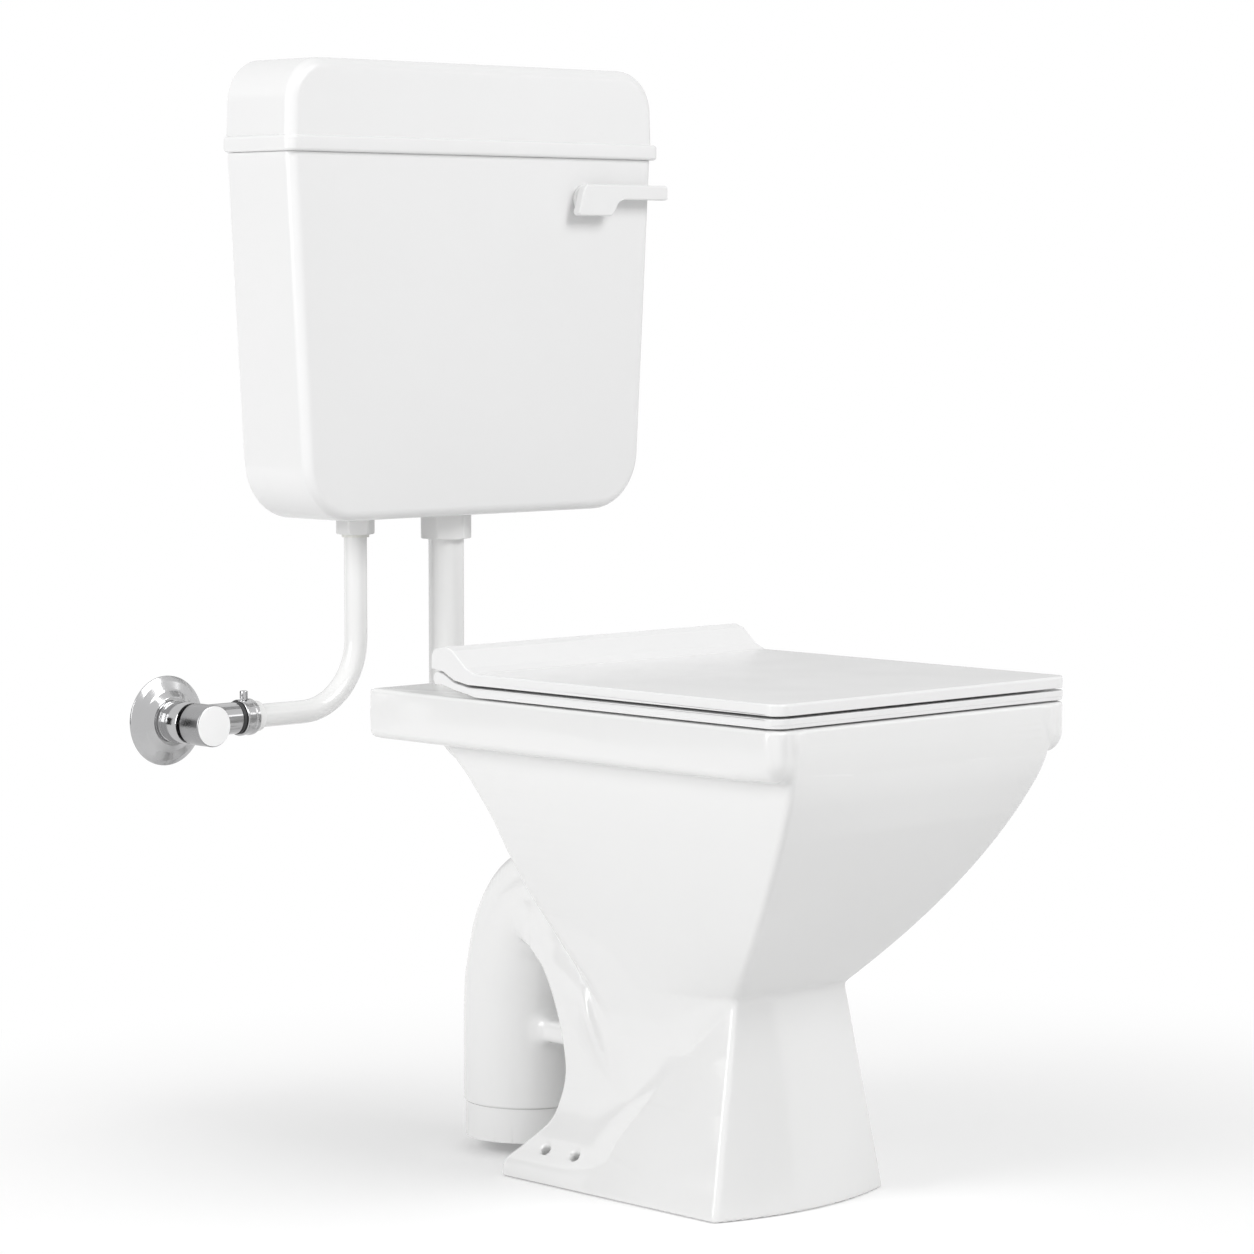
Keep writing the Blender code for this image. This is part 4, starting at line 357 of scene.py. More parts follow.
def smooth_line(rows, steps):
    """Points of a smooth curve through the rows, of any number of columns."""
    rows = np.array(rows, float)
    made = []
    for index in range(len(rows) - 1):
        before = rows[max(index - 1, 0)]
        start = rows[index]
        end = rows[index + 1]
        after = rows[min(index + 2, len(rows) - 1)]
        for step in range(steps):
            t = step / steps
            made.append(0.5 * (2 * start + (end - before) * t
                               + (2 * before - 5 * start + 4 * end - after) * t * t
                               + (3 * start - before - 3 * end + after) * t ** 3))
    made.append(rows[-1])
    return np.array(made)


def round_corners(corners, steps=6, closed=True):
    """Replaces each (a, b, radius) corner of an outline by an arc."""
    outline = []
    count = len(corners)
    for index, (a, b, radius) in enumerate(corners):
        end = not closed and index in (0, count - 1)
        if radius <= 0 or end:
            outline.append((a, b))
            continue
        here = Vector((a, b))
        before = (Vector(corners[index - 1][:2]) - here).normalized()
        after = (Vector(corners[(index + 1) % count][:2]) - here).normalized()
        half = before.angle(after) / 2
        reach = radius / math.tan(half)
        centre = here + (before + after).normalized() * (radius / math.sin(half))
        start = here + before * reach - centre
        sweep = start.angle_signed(here + after * reach - centre)
        for step in range(steps + 1):
            outline.append(tuple(centre + Matrix.Rotation(-sweep * step / steps, 2) @ start))
    return outline


def quarter(edge, steps=6):
    """Steps of a quarter round: how far out of, and how far into, its corner each lies."""
    return [(edge * (1 - math.cos(angle)), edge * (1 - math.sin(angle)))
            for angle in np.linspace(0, math.pi / 2, steps)]


def inset(outline, distance):
    """Moves a closed counter-clockwise outline inwards, keeping its number of points."""
    points = np.array(outline, float)
    ahead = np.roll(points, -1, axis=0) - points
    ahead /= np.maximum(np.linalg.norm(ahead, axis=1), 1e-12)[:, None]
    behind = np.roll(ahead, 1, axis=0)
    normal = np.stack((-(ahead[:, 1] + behind[:, 1]), ahead[:, 0] + behind[:, 0]), axis=1)
    length = np.maximum(np.linalg.norm(normal, axis=1), 1e-12)
    normal /= length[:, None]
    spread = np.maximum(length / 2, 0.5)
    return points + normal * (distance / spread)[:, None]


class Shape:
    """Vertices and faces of one piece, gathered from simple parts."""

    def __init__(self):
        self.points = []
        self.faces = []

    def add(self, points, faces):
        start = len(self.points)
        self.points.extend(tuple(map(float, point)) for point in points)
        self.faces.extend(tuple(start + index for index in face) for face in faces)
        return self

    def loft(self, rings, caps=True, loop=False):
        """A skin over rings of equally many points; loop closes the last ring on the first."""
        count = len(rings[0])
        points = [point for ring in rings for point in ring]
        faces = []
        for level in range(len(rings) if loop else len(rings) - 1):
            low = level * count
            high = ((level + 1) % len(rings)) * count
            for step in range(count):
                nxt = (step + 1) % count
                faces.append((low + step, low + nxt, high + nxt, high + step))
        if caps and not loop:
            faces.append(tuple(reversed(range(count))))
            last = (len(rings) - 1) * count
            faces.append(tuple(range(last, last + count)))
        return self.add(points, faces)

    def turn(self, profile, axis, centre, steps=TURN_STEPS, closed=False):
        """Turns (radius, along) pairs about an axis; an open profile is closed at its two ends."""
        rings = []
        for radius, along in profile:
            ring = []
            for step in range(steps):
                angle = math.tau * step / steps
                a = radius * math.cos(angle)
                b = radius * math.sin(angle)
                spoke = {"Z": (a, b, along), "Y": (b, along, a), "X": (along, a, b)}[axis]
                ring.append(Vector(centre) + Vector(spoke))
            rings.append(ring)
        return self.loft(rings, caps=not closed, loop=closed)

    def lathe(self, corners, rounds, axis, centre, steps=TURN_STEPS, closed=False):
        """Turns an outline of (along, radius, rounding) corners about an axis."""
        outline = [(radius, along) for along, radius in round_corners(corners, rounds)]
        return self.turn(outline, axis, centre, steps, closed)

    def block(self, low, high, edge=0.0006):
        """A box with softened edges."""
        body = bmesh.new()
        bmesh.ops.create_cube(body, size=1.0)
        for vert in body.verts:
            vert.co = Vector([(a + b) / 2 + c * (b - a) for a, b, c in zip(low, high, vert.co)])
        bmesh.ops.bevel(body, geom=body.edges[:], offset=edge, segments=3, profile=0.5, affect="EDGES")
        self.add([vert.co.copy() for vert in body.verts],
                 [[vert.index for vert in face.verts] for face in body.faces])
        body.free()
        return self

    def build(self, name, finish, back=True, angle=FINE_ANGLE):
        """Makes the object, with faces outwards, doubles merged and big flat faces shaded flat."""
        mesh = bpy.data.meshes.new(name)
        shift = ORIGIN_BACK if back else 0.0
        mesh.from_pydata([(x, y - shift, z) for x, y, z in self.points], [], self.faces)
        body = bmesh.new()
        body.from_mesh(mesh)
        bmesh.ops.remove_doubles(body, verts=body.verts, dist=1e-6)
        bmesh.ops.recalc_face_normals(body, faces=body.faces)
        body.to_mesh(mesh)
        body.free()
        obj = bpy.data.objects.new(name, mesh)
        bpy.context.scene.collection.objects.link(obj)
        mesh.materials.append(finish)
        shade(obj, angle)
        return obj


def shade(obj, angle=FINE_ANGLE):
    obj.data.shade_smooth()
    obj.data.set_sharp_from_angle(angle=angle)


def settle(obj):
    """Turns the evaluated object into a plain mesh of its own and drops its modifiers."""
    graph = bpy.context.evaluated_depsgraph_get()
    graph.update()
    finishes = [slot.material for slot in obj.material_slots]
    made = bpy.data.meshes.new_from_object(obj.evaluated_get(graph))
    old = obj.data
    obj.modifiers.clear()
    obj.data = made
    made.name = obj.name
    made.materials.clear()
    for finish in finishes:
        made.materials.append(finish)
    if isinstance(old, bpy.types.Mesh):
        bpy.data.meshes.remove(old)
    return obj


def even_shading(obj):
    """Lets large flat faces keep their own direction next to narrow rounded edges."""
    step = obj.modifiers.new("Even shading", "WEIGHTED_NORMAL")
    step.keep_sharp = True
    step.weight = 100
    return settle(obj)


def boolean(obj, cutter, operation="DIFFERENCE"):
    step = obj.modifiers.new("Cut", "BOOLEAN")
    step.operation = operation
    step.solver = "EXACT"
    step.object = cutter
    settle(obj)
    bpy.data.objects.remove(cutter)
    return obj


def place(obj, body, slot, *nodes):
    """Gives a finished piece its body and hides the frame nodes that it stands for; its finish slot is not
    used.
    """
    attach(obj, body)
    if nodes:
        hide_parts(*nodes)
    return obj


# Pan as one field: negative inside the ware, positive outside


def fillet_union(a, b, radius):
    """Both solids in one, with a hollow fillet between them."""
    corner = np.hypot(np.maximum(radius - a, 0), np.maximum(radius - b, 0))
    return np.maximum(radius, np.minimum(a, b)) - corner


def round_edge(a, b, radius):
    """What lies in both solids, with its outer edge rounded."""
    corner = np.hypot(np.maximum(radius + a, 0), np.maximum(radius + b, 0))
    return np.minimum(-radius, np.maximum(a, b)) + corner


def bowl_share(z):
    """Zero at the bowl's top and one at its shoulder."""
    return (BOWL_TOP_Z - z) / (BOWL_TOP_Z - SHOULDER_Z)


def bowl_front(z):
    """How far back the bowl's front face lies at each height."""
    share = bowl_share(z)
    start = (share + FACE_START) ** 2 / (4 * FACE_START)
    share = np.where(np.abs(share) < FACE_START, start, np.clip(share, 0, 1))
    eased = FACE_EASE * share + (1 - FACE_EASE) * share ** 2
    above = FACE_TOP_BACK + (SHOULDER_BACK - FACE_TOP_BACK) * eased
    return above + np.maximum(SHOULDER_Z - z, 0) * CREASE_SLOPE


def foot_plane(z):
    """Half-width of the pedestal's two flat sides."""
    share = np.clip((SHOULDER_Z - z) / SHOULDER_Z, -0.02, 1)
    return SHOULDER_HALF_WIDTH + (FOOT_HALF_WIDTH - SHOULDER_HALF_WIDTH) * share


def bowl_half(z, low_half, ease, bow):
    """Half-width of the bowl at each height; bow is for its sides, else it is that of its face."""
    share = np.clip(bowl_share(z), 0, 1)
    run = BOWL_TOP_HALF_WIDTH - low_half
    if bow:
        eased = share - ease * share * (1 - share) ** 2
        low = from_table(BOWL_LOW, z)
    else:
        eased = ease * share + (1 - ease) * share ** 2
        low = np.minimum(foot_plane(z), from_table(BOWL_LOW, z))
    return np.where(z < SHOULDER_Z, low, BOWL_TOP_HALF_WIDTH - run * eased)


def front_middle(x, back):
    """One where the bowl's own face makes the front of the rim, zero elsewhere."""
    near = np.clip(1 - back / FRONT_DEPTH, 0, 1)
    return near * np.clip((BOWL_TOP_HALF_WIDTH - np.abs(x)) / FRONT_BLEND, 0, 1)


def slab_field(x, back, z):
    corner = np.where(back < SLAB_LENGTH / 2, SLAB_CORNERS[0], SLAB_CORNERS[1])
    dx = np.abs(x) - (SLAB_HALF_WIDTH - corner)
    dy = np.abs(back - SLAB_LENGTH / 2) - (SLAB_LENGTH / 2 - corner)
    plan = np.hypot(np.maximum(dx, 0), np.maximum(dy, 0)) + np.minimum(np.maximum(dx, dy), 0) - corner
    middle = front_middle(x, back)
    low = SLAB_LOW_Z + SLAB_HIDDEN * (RIM_Z - SLAB_LOW_Z) * middle
    edge = SLAB_EDGE + SLAB_FRONT_EDGE * np.clip(1 - back / FRONT_DEPTH, 0, 1) - SLAB_MIDDLE_EDGE * middle
    return round_edge(round_edge(plan, low - z, edge), z - RIM_Z, RIM_EDGE)


def bowl_field(x, back, z):
    """The bowl from its foot to under the rim; each face is scaled by its slope to stay a distance."""
    ax = np.abs(x)
    face_half = bowl_half(z, SHOULDER_HALF_WIDTH, WIDTH_EASE, False)
    side_half = bowl_half(z, BOWL_WAIST_HALF_WIDTH, SIDE_EASE, True)
    front = bowl_front(z)
    rear = from_table(BOWL_REAR, z)
    along = np.clip((back - front) / (BOWL_WIDENING * (rear - front)), 0, 1)
    half = face_half + (side_half - face_half) * np.sin(math.pi / 2 * along)
    bulge = FACE_BULGE * np.clip(bowl_share(z) * 4, 0, 1)
    ridge = front - bulge * (1 - (ax / face_half) ** 2)
    face = (ridge - back) * 0.80
    side = (ax - half) * 0.93
    sides = round_edge(face, side, FACE_EDGE)
    sides = round_edge(sides, (back - rear) * 0.90, BOWL_REAR_EDGE)
    return np.maximum(np.maximum(sides, z - (RIM_Z - BOWL_UNDER_RIM)), BOWL_FOOT_Z - z)


def foot_field(x, back, z):
    """Pedestal and limb, their faces scaled by their slopes like those of the bowl."""
    ax = np.abs(x)
    share = np.clip((SHOULDER_Z - z) / SHOULDER_Z, 0, 1)
    front = SHOULDER_BACK + (FOOT_FRONT_BACK - SHOULDER_BACK) * share
    plane = foot_plane(z)
    bulge = FACE_BULGE + (FOOT_BULGE - FACE_BULGE) * share
    face = front - bulge * (1 - np.minimum(ax / plane, 1.2) ** 2) - back
    crease = from_table(CREASE_LINE, z)
    run = from_table(CREASE_RUN, z)
    fade = np.clip(1 - (back - crease) / run, 0, 1)
    fade = np.where(back < crease, 1.0, fade ** 2)
    lean = from_table(LIMB_SIDE, z)
    half = lean + (plane - lean) * fade
    side = (ax - half) * 0.97
    rear = (back - from_table(LIMB_REAR, z)) * 0.93
    body = round_edge(round_edge(face, side, FOOT_EDGE), rear, LIMB_EDGE)
    body = np.maximum(body, (z - from_table(LIMB_TOP, back)) * 0.85)
    return round_edge(body, -z, SOLE_EDGE)


def limb_ridge(back, z):
    """Height of the short ridge in which the trap's front edge runs out on the limb's side."""
    run = np.subtract(RIDGE_END, RIDGE_START)
    length = np.hypot(*run)
    along = np.clip(((back - RIDGE_START[0]) * run[0] + (z - RIDGE_START[1]) * run[1]) / length ** 2, 0, 1)
    off = ((back - RIDGE_START[0]) * run[1] - (z - RIDGE_START[1]) * run[0]) / length
    flank = np.where(off < 0, *RIDGE_FLANKS)
    return RIDGE_HEIGHT * np.sin(math.pi * along) ** 2 * np.exp(-(off / flank) ** 2)


def swept_field(x, back, z, line, widths, thicks):
    """Rough distance from an oval tube whose middle line lies in the plane x = 0."""
    y2, z2 = np.broadcast_arrays(back, z)
    flat_y, flat_z = y2.reshape(-1), z2.reshape(-1)
    best = np.full(flat_y.shape, np.inf)
    wide = np.zeros(flat_y.shape)
    thick = np.zeros(flat_y.shape)
    past = np.zeros(flat_y.shape)
    last = len(line) - 2
    for index in range(len(line) - 1):
        start, end = line[index], line[index + 1]
        run = end - start
        length = run @ run
        raw = ((flat_y - start[0]) * run[0] + (flat_z - start[1]) * run[1]) / length
        t = np.clip(raw, 0, 1)
        gap = np.hypot(flat_y - start[0] - run[0] * t, flat_z - start[1] - run[1] * t)
        near = gap < best
        best = np.where(near, gap, best)
        wide = np.where(near, widths[index] + (widths[index + 1] - widths[index]) * t, wide)
        thick = np.where(near, thicks[index] + (thicks[index + 1] - thicks[index]) * t, thick)
        if index == last:
            over = np.maximum(raw - 1, 0) * math.sqrt(length)
            side = np.abs((flat_y - end[0]) * run[1] - (flat_z - end[1]) * run[0]) / math.sqrt(length)
            best = np.where(near & (over > 0), side, best)
            past = np.where(near, over, past)
    best, wide, thick, past = (value.reshape(y2.shape) for value in (best, wide, thick, past))
    power = np.clip(2 + 4.5 * (wide / np.maximum(thick, 1e-6) - 1), 2, 3.4)
    reach = ((np.abs(x) / wide) ** power + (best / thick) ** power) ** (1 / power)
    tube = (reach - 1) * np.minimum(wide, thick)
    return np.where(past > 0, np.maximum(tube, past), tube)


def pan_hollows(x, back, z):
    """Everything cut from the pan: bowl, waterway, foot hollow, holes and the horn's bore."""
    ax = np.abs(x)
    rows = np.array(WELL_ROWS)
    front = from_table(rows[:, (0, 1)], z)
    rear = from_table(rows[:, (0, 2)], z)
    half = from_table(rows[:, (0, 3)], z)
    middle, reach = (front + rear) / 2, (rear - front) / 2
    oval = (ax / half) ** WELL_POWER + (np.abs(back - middle) / reach) ** WELL_POWER
    well = (oval ** (1 / WELL_POWER) - 1) * np.minimum(half, reach)
    well = round_edge(well, rows[0, 0] - z, WELL_EDGE)
    line = smooth_line(WATERWAY_LINE, 4)
    sizes = np.full(len(line), WATERWAY_RADIUS)
    water = swept_field(x, back, z, line, sizes, sizes)
    cut = fillet_union(well, water, SMALL_FILLET)
    recess = np.maximum(np.maximum(ax - RECESS_HALF_WIDTH, np.abs(back - sum(RECESS_BACK) / 2)
                                   - (RECESS_BACK[1] - RECESS_BACK[0]) / 2), z - RECESS_DEPTH)
    cut = np.minimum(cut, recess)
    bore = np.maximum(np.hypot(x, z - HORN_Z) - HORN_BORE, HORN_BORE_START - back)
    cut = np.minimum(cut, bore)
    lean = (math.sin(FIXING_TILT), math.cos(FIXING_TILT))
    for hole_back in FIXING_BACK:
        dx, dz = ax - FIXING_X, z - FIXING_Z
        along = dx * lean[0] + dz * lean[1]
        off = np.hypot(dx * lean[1] - dz * lean[0], back - hole_back)
        cut = np.minimum(cut, np.maximum(off - FIXING_RADIUS, np.abs(along) - FIXING_REACH))
    socket = np.maximum(np.hypot(ax - HINGE_X, back - POST_BACK) - SOCKET_RADIUS, RIM_Z - SOCKET_DEPTH - z)
    return np.minimum(cut, socket)


def pan_field(x, y, z):
    """Field of the whole pan in the frame's own coordinates."""
    back = y + ORIGIN_BACK
    rows = smooth_line(TRAP_LINE, 9)
    trap = swept_field(x, back, z, rows[:, :2], rows[:, 2], rows[:, 3])
    round_leg = np.hypot(x, back - OUTLET_BACK)
    leg = np.maximum(round_leg - OUTLET_RADIUS - OUTLET_STEP, z - OUTLET_RING_Z - OUTLET_STEP)
    trap = round_edge(np.minimum(trap, leg), OUTLET_Z - z, OUTLET_EDGE)
    strut = [np.abs(x) - STRUT_HALF[0], np.abs(back - STRUT_MIDDLE[0]) - STRUT_HALF[1],
             np.abs(z - STRUT_MIDDLE[1]) - STRUT_HALF[2]]
    strut = round_edge(np.maximum(strut[0], strut[1]), strut[2], STRUT_EDGE)
    horn = np.maximum(np.hypot(x, z - HORN_Z) - HORN_RADIUS,
                      np.maximum(HORN_BACK[0] - back, back - HORN_BACK[1]))
    bowl = bowl_field(x, back, z)
    ware = fillet_union(bowl, slab_field(x, back, z), SLAB_FILLET * (1 - front_middle(x, back)))
    foot = fillet_union(foot_field(x, back, z), strut, SMALL_FILLET)
    ware = fillet_union(ware, foot, FOOT_FILLET)
    neck = NECK_FILLET + NECK_GROWTH * np.clip((z - NECK_LOW_Z) / NECK_RISE, 0, 1)
    ware = fillet_union(ware, trap, neck) - limb_ridge(back, z) * (np.abs(x) > OUTLET_RADIUS)
    ware = fillet_union(ware, horn, SMALL_FILLET)
    return round_edge(ware, -pan_hollows(x, back, z), HOLLOW_EDGE)


def net_of(field, low, step):
    """Vertices and quads of the surface where a grid of values changes sign."""
    inside = field < 0
    shape = np.array(field.shape)
    corners = [(i, j, k) for i in (0, 1) for j in (0, 1) for k in (0, 1)]
    parts = [inside[i:shape[0] - 1 + i, j:shape[1] - 1 + j, k:shape[2] - 1 + k] for i, j, k in corners]
    total = sum(part.astype(np.uint8) for part in parts)
    cells = np.argwhere((total > 0) & (total < 8))
    values = [field[cells[:, 0] + i, cells[:, 1] + j, cells[:, 2] + k] for i, j, k in corners]
    spot = np.zeros((len(cells), 3))
    count = np.zeros(len(cells))
    for first in range(8):
        for second in range(first + 1, 8):
            a, b = np.array(corners[first]), np.array(corners[second])
            if np.abs(a - b).sum() != 1:
                continue
            va, vb = values[first], values[second]
            crossed = (va < 0) != (vb < 0)
            t = np.where(crossed, va / np.where(crossed, va - vb, 1.0), 0.0)
            spot += np.where(crossed[:, None], a + (b - a) * t[:, None], 0.0)
            count += crossed
    points = low + (cells + spot / count[:, None]) * step
    number = np.full(tuple(shape - 1), -1, np.int32)
    number[cells[:, 0], cells[:, 1], cells[:, 2]] = np.arange(len(cells))
    quads = []
    for axis in range(3):
        one, two = (axis + 1) % 3, (axis + 2) % 3
        near = [slice(1, -1)] * 3
        near[axis] = slice(0, -1)
        far = list(near)
        far[axis] = slice(1, None)
        start, end = inside[tuple(near)], inside[tuple(far)]
        for flip in (False, True):
            edges = np.argwhere((end & ~start) if flip else (start & ~end))
            for other in (one, two):
                edges[:, other] += 1
            face = []
            for da, db in ((0, 0), (1, 0), (1, 1), (0, 1)):
                cell = edges.copy()
                cell[:, one] -= da
                cell[:, two] -= db
                face.append(number[cell[:, 0], cell[:, 1], cell[:, 2]])
            face = np.stack(face, axis=1)
            quads.append(face[:, ::-1] if flip else face)
    return points, np.concatenate(quads)


def drop_to_surface(points, rounds=4):
    """Moves points along the field's slope until the field is zero there."""
    reach, longest, flattest = 0.0002, 0.0012, 0.05
    for _ in range(rounds):
        here = pan_field(points[:, 0], points[:, 1], points[:, 2])
        slope = np.empty_like(points)
        for axis in range(3):
            step = np.zeros(3)
            step[axis] = reach
            ahead = points + step
            behind = points - step
            slope[:, axis] = (pan_field(ahead[:, 0], ahead[:, 1], ahead[:, 2])
                              - pan_field(behind[:, 0], behind[:, 1], behind[:, 2])) / (2 * reach)
        size = np.maximum((slope ** 2).sum(1), flattest)
        move = slope * (here / size)[:, None]
        length = np.linalg.norm(move, axis=1)
        move *= np.minimum(1, longest / np.maximum(length, 1e-9))[:, None]
        points = points - move
    return points


def grid_mesh(name, points, quads):
    mesh = bpy.data.meshes.new(name)
    mesh.vertices.add(len(points))
    mesh.vertices.foreach_set("co", points.astype(np.float32).reshape(-1))
    mesh.loops.add(quads.size)
    mesh.loops.foreach_set("vertex_index", quads.astype(np.int32).reshape(-1))
    mesh.polygons.add(len(quads))
    mesh.polygons.foreach_set("loop_start", np.arange(0, quads.size, 4, dtype=np.int32))
    mesh.update(calc_edges=True)
    mesh.validate()
    return mesh


def make_pan(finish):
    step = FIELD_STEP * 1
    low, high = np.array(PAN_REACH[0]) - step / 3, PAN_REACH[1]
    axes = [np.arange(low[axis], high[axis], step) for axis in range(3)]
    x, y, z = axes[0][:, None, None], axes[1][None, :, None], axes[2][None, None, :]
    field = np.array(pan_field(x, y, z), float)
    points, quads = net_of(field, low, step)
    mesh = grid_mesh("pan_glazed", drop_to_surface(points, 2), quads)
    obj = bpy.data.objects.new("pan_glazed", mesh)
    bpy.context.scene.collection.objects.link(obj)
    mesh.materials.append(finish)
    triangles = len(quads) * 2
    if triangles > PAN_TRIANGLES:
        thin = obj.modifiers.new("Fewer faces", "DECIMATE")
        thin.ratio = PAN_TRIANGLES / triangles
        thin.use_symmetry = False
        settle(obj)
    count = len(obj.data.vertices)
    spots = np.empty(count * 3, np.float32)
    obj.data.vertices.foreach_get("co", spots)
    spots = drop_to_surface(spots.reshape(-1, 3).astype(float), 3)
    obj.data.vertices.foreach_set("co", spots.astype(np.float32).reshape(-1))
    obj.data.update()
    wide, sunk, groove = OUTLET_RADIUS + CUT_PAST, OUTLET_RADIUS - 0.001, OUTLET_RING_Z - OUTLET_STEP
    collar = Shape().lathe(((-CUT_PAST, OUTLET_RADIUS, 0), (-CUT_PAST, wide, 0), (OUTLET_RING_Z, wide, 0),
                            (OUTLET_RING_Z, sunk, 0), (groove, sunk, 0), (groove, OUTLET_RADIUS, 0)),
                           4, "Z", (0, OUTLET_BACK, 0), TURN_STEPS * 2, True)
    boolean(obj, collar.build("outlet step", finish))
    shade(obj, math.radians(40))
    return place(obj, "suite", "vitreous_china", "pan")


# Seat, lid and hinges


def across(profile, half, corner, edge):
    """Rings along x of a (back, z) outline, with rounded ends and rounded corners in plan at the front."""
    stations = [(half - edge - corner * share, 0.0) for share in CORNER_SHARES]
    stations += [(half - out, drawn) for out, drawn in quarter(edge, 5)[::-1]]
    spans = [(-x, drawn) for x, drawn in reversed(stations)] + stations
    back = np.array([point[0] for point in profile])
    front = back.min()
    share = np.clip(1 - (back - front) / (corner * 6), 0, 1)
    rings = []
    for x, drawn in spans:
        past = max(abs(x) - (half - corner), 0.0)
        pulled = corner - math.sqrt(max(corner ** 2 - past ** 2, 0.0))
        ring = np.array(inset(profile, drawn)) if drawn else np.array(profile, float)
        ring[:, 0] += pulled * share
        rings.append([(x, b, z) for b, z in ring])
    return rings


def plate_profile(under, over, low_edge, high_edge):
    """Closed side outline of a plate, with its front corners rounded."""
    front = [(*under[0], low_edge), *((b, z, 0.0) for b, z in under[1:])]
    rear = [*((b, z, 0.0) for b, z in over[:-1]), (*over[-1], high_edge)]
    return front, rear


def oval_ring(half, front, rear, z, grown=0.0, count=96, power=2.0):
    middle, reach = (front + rear) / 2, (rear - front) / 2 + grown
    ring = []
    for step in range(count):
        angle = math.tau * step / count
        c, s = math.cos(angle), math.sin(angle)
        x = math.copysign(abs(c) ** (2 / power), c) * (half + grown)
        ring.append((x, middle + math.copysign(abs(s) ** (2 / power), s) * reach, z))
    return ring


def rod_profile(radius, low, high, edge=0.0004):
    """Outline of a plain round bar with softened ends."""
    start = [(radius - out, low + drawn) for out, drawn in quarter(edge, 4)]
    end = [(radius - out, high - drawn) for out, drawn in quarter(edge, 4)]
    return start[::-1] + end


def add_barrel(obj, side, reach, finish):
    """Joins one hinge barrel to a seat or lid."""
    span = sorted((side * reach[0], side * reach[1]))
    barrel = Shape().turn(rod_profile(BARREL_RADIUS, *span), "X", (0, HINGE_BACK, HINGE_Z), 40)
    boolean(obj, barrel.build("barrel", finish), "UNION")


def make_seat(finish, edge):
    front, rear = plate_profile(SEAT_UNDER, SEAT_OVER, edge, GAP_EDGE)
    nose = [(HINGE_BACK + SEAT_NOSE_RADIUS * math.cos(angle),
             HINGE_Z + SEAT_NOSE_RADIUS * math.sin(angle), 0.0) for angle in np.linspace(*SEAT_NOSE_TURN, 14)]
    rings = across(round_corners(front + nose + rear, 6), PLATE_HALF_WIDTH, PLATE_CORNER, END_EDGE)
    seat = Shape().loft(rings).build("seat_ring", finish)
    low, high = SEAT_UNDER[0][1], SEAT_OVER[-1][1]
    rings = []
    for side, level, sign in ((0, low, 1), (1, high, -1)):
        arc = [(level - sign * 0.001, edge)]
        arc += [(level + sign * out, drawn) for out, drawn in quarter(edge)]
        rings += arc if side == 0 else arc[::-1]
    hole = Shape().loft([oval_ring(SEAT_HOLE_HALF_WIDTH, *SEAT_HOLE_BACK, z, grown) for z, grown in rings])
    boolean(seat, hole.build("hole", finish))
    for side in (-1, 1):
        low_x, high_x = sorted((side * SEAT_NOTCH_X[0], side * SEAT_NOTCH_X[1]))
        notch = Shape().block((low_x, SEAT_NOTCH_BACK, RIM_Z),
                              (high_x, HINGE_BACK + CUT_PAST, HINGE_Z + CUT_PAST), 0.0004)
        boolean(seat, notch.build("notch", finish))
    seat_skirt(finish, low)
    for side in (-1, 1):
        add_barrel(seat, side, SEAT_BARREL_X, finish)
    shade(seat)
    even_shading(seat)
    return place(seat, "seat_body", "white_gloss_plastic", "seat")


def seat_skirt(finish, top):
    """The lip round the front and sides that hides the pads under the seat."""
    half, front, corner, edge = PLATE_HALF_WIDTH - GAP, PLATE_FRONT + GAP, PLATE_CORNER, 0.0006
    tail = np.linspace(SKIRT_REAR[1], SKIRT_REAR[0], 9)
    plan = [(-half, back) for back in tail[:-1]]
    plan += round_corners(((-half, SKIRT_REAR[0], 0), (-half, front, corner), (half, front, corner),
                           (half, SKIRT_REAR[0], 0)), 8, False)
    plan += [(half, back) for back in tail[-2::-1]]
    top += 0.001
    section = round_corners(((0, top, 0), (0, SKIRT_LOW_Z, edge), (SKIRT_WIDTH, SKIRT_LOW_Z, edge),
                             (SKIRT_WIDTH, top, 0)), 4)
    rings = []
    for index, (x, back) in enumerate(plan):
        before = Vector(plan[max(index - 1, 0)])
        after = Vector(plan[min(index + 1, len(plan) - 1)])
        ahead = (after - before).normalized()
        share = min(max((back - SKIRT_REAR[0]) / (SKIRT_REAR[1] - SKIRT_REAR[0]), 0), 1)
        lift = SKIRT_RISE * share ** 2 * (3 - 2 * share)
        rings.append([(x - ahead.y * inward, back + ahead.x * inward, z + lift) for inward, z in section])
    return place(Shape().loft(rings).build("seat_skirt", finish), "seat_body", "white_gloss_plastic")


def make_lid(finish, edge):
    front, rear = plate_profile(LID_UNDER, LID_OVER, GAP_EDGE, edge)
    corners = [(b, z, LID_ROUNDS.get((b, z), radius)) for b, z, radius in front + rear]
    rings = across(round_corners(corners, 6), PLATE_HALF_WIDTH, PLATE_CORNER, END_EDGE)
    lid = Shape().loft(rings).build("lid_panel", finish)
    for side in (-1, 1):
        span = sorted((side * LID_BARREL_X[0], side * LID_BARREL_X[1]))
        web = Shape().block((span[0], HINGE_BACK - WEB_HALF, HINGE_Z),
                            (span[1], HINGE_BACK + WEB_HALF, WEB_TOP_Z))
        boolean(lid, web.build("web", finish), "UNION")
        add_barrel(lid, side, LID_BARREL_X, finish)
        pocket = Shape().turn([(PAD_RADIUS + GAP, z) for z in LID_POCKET_Z], "Z",
                              (side * LID_PAD_X, LID_PAD_BACK, 0), 40)
        boolean(lid, pocket.build("pocket", finish))
    shade(lid)
    even_shading(lid)
    return place(lid, "lid_body", "white_gloss_plastic", "lid")


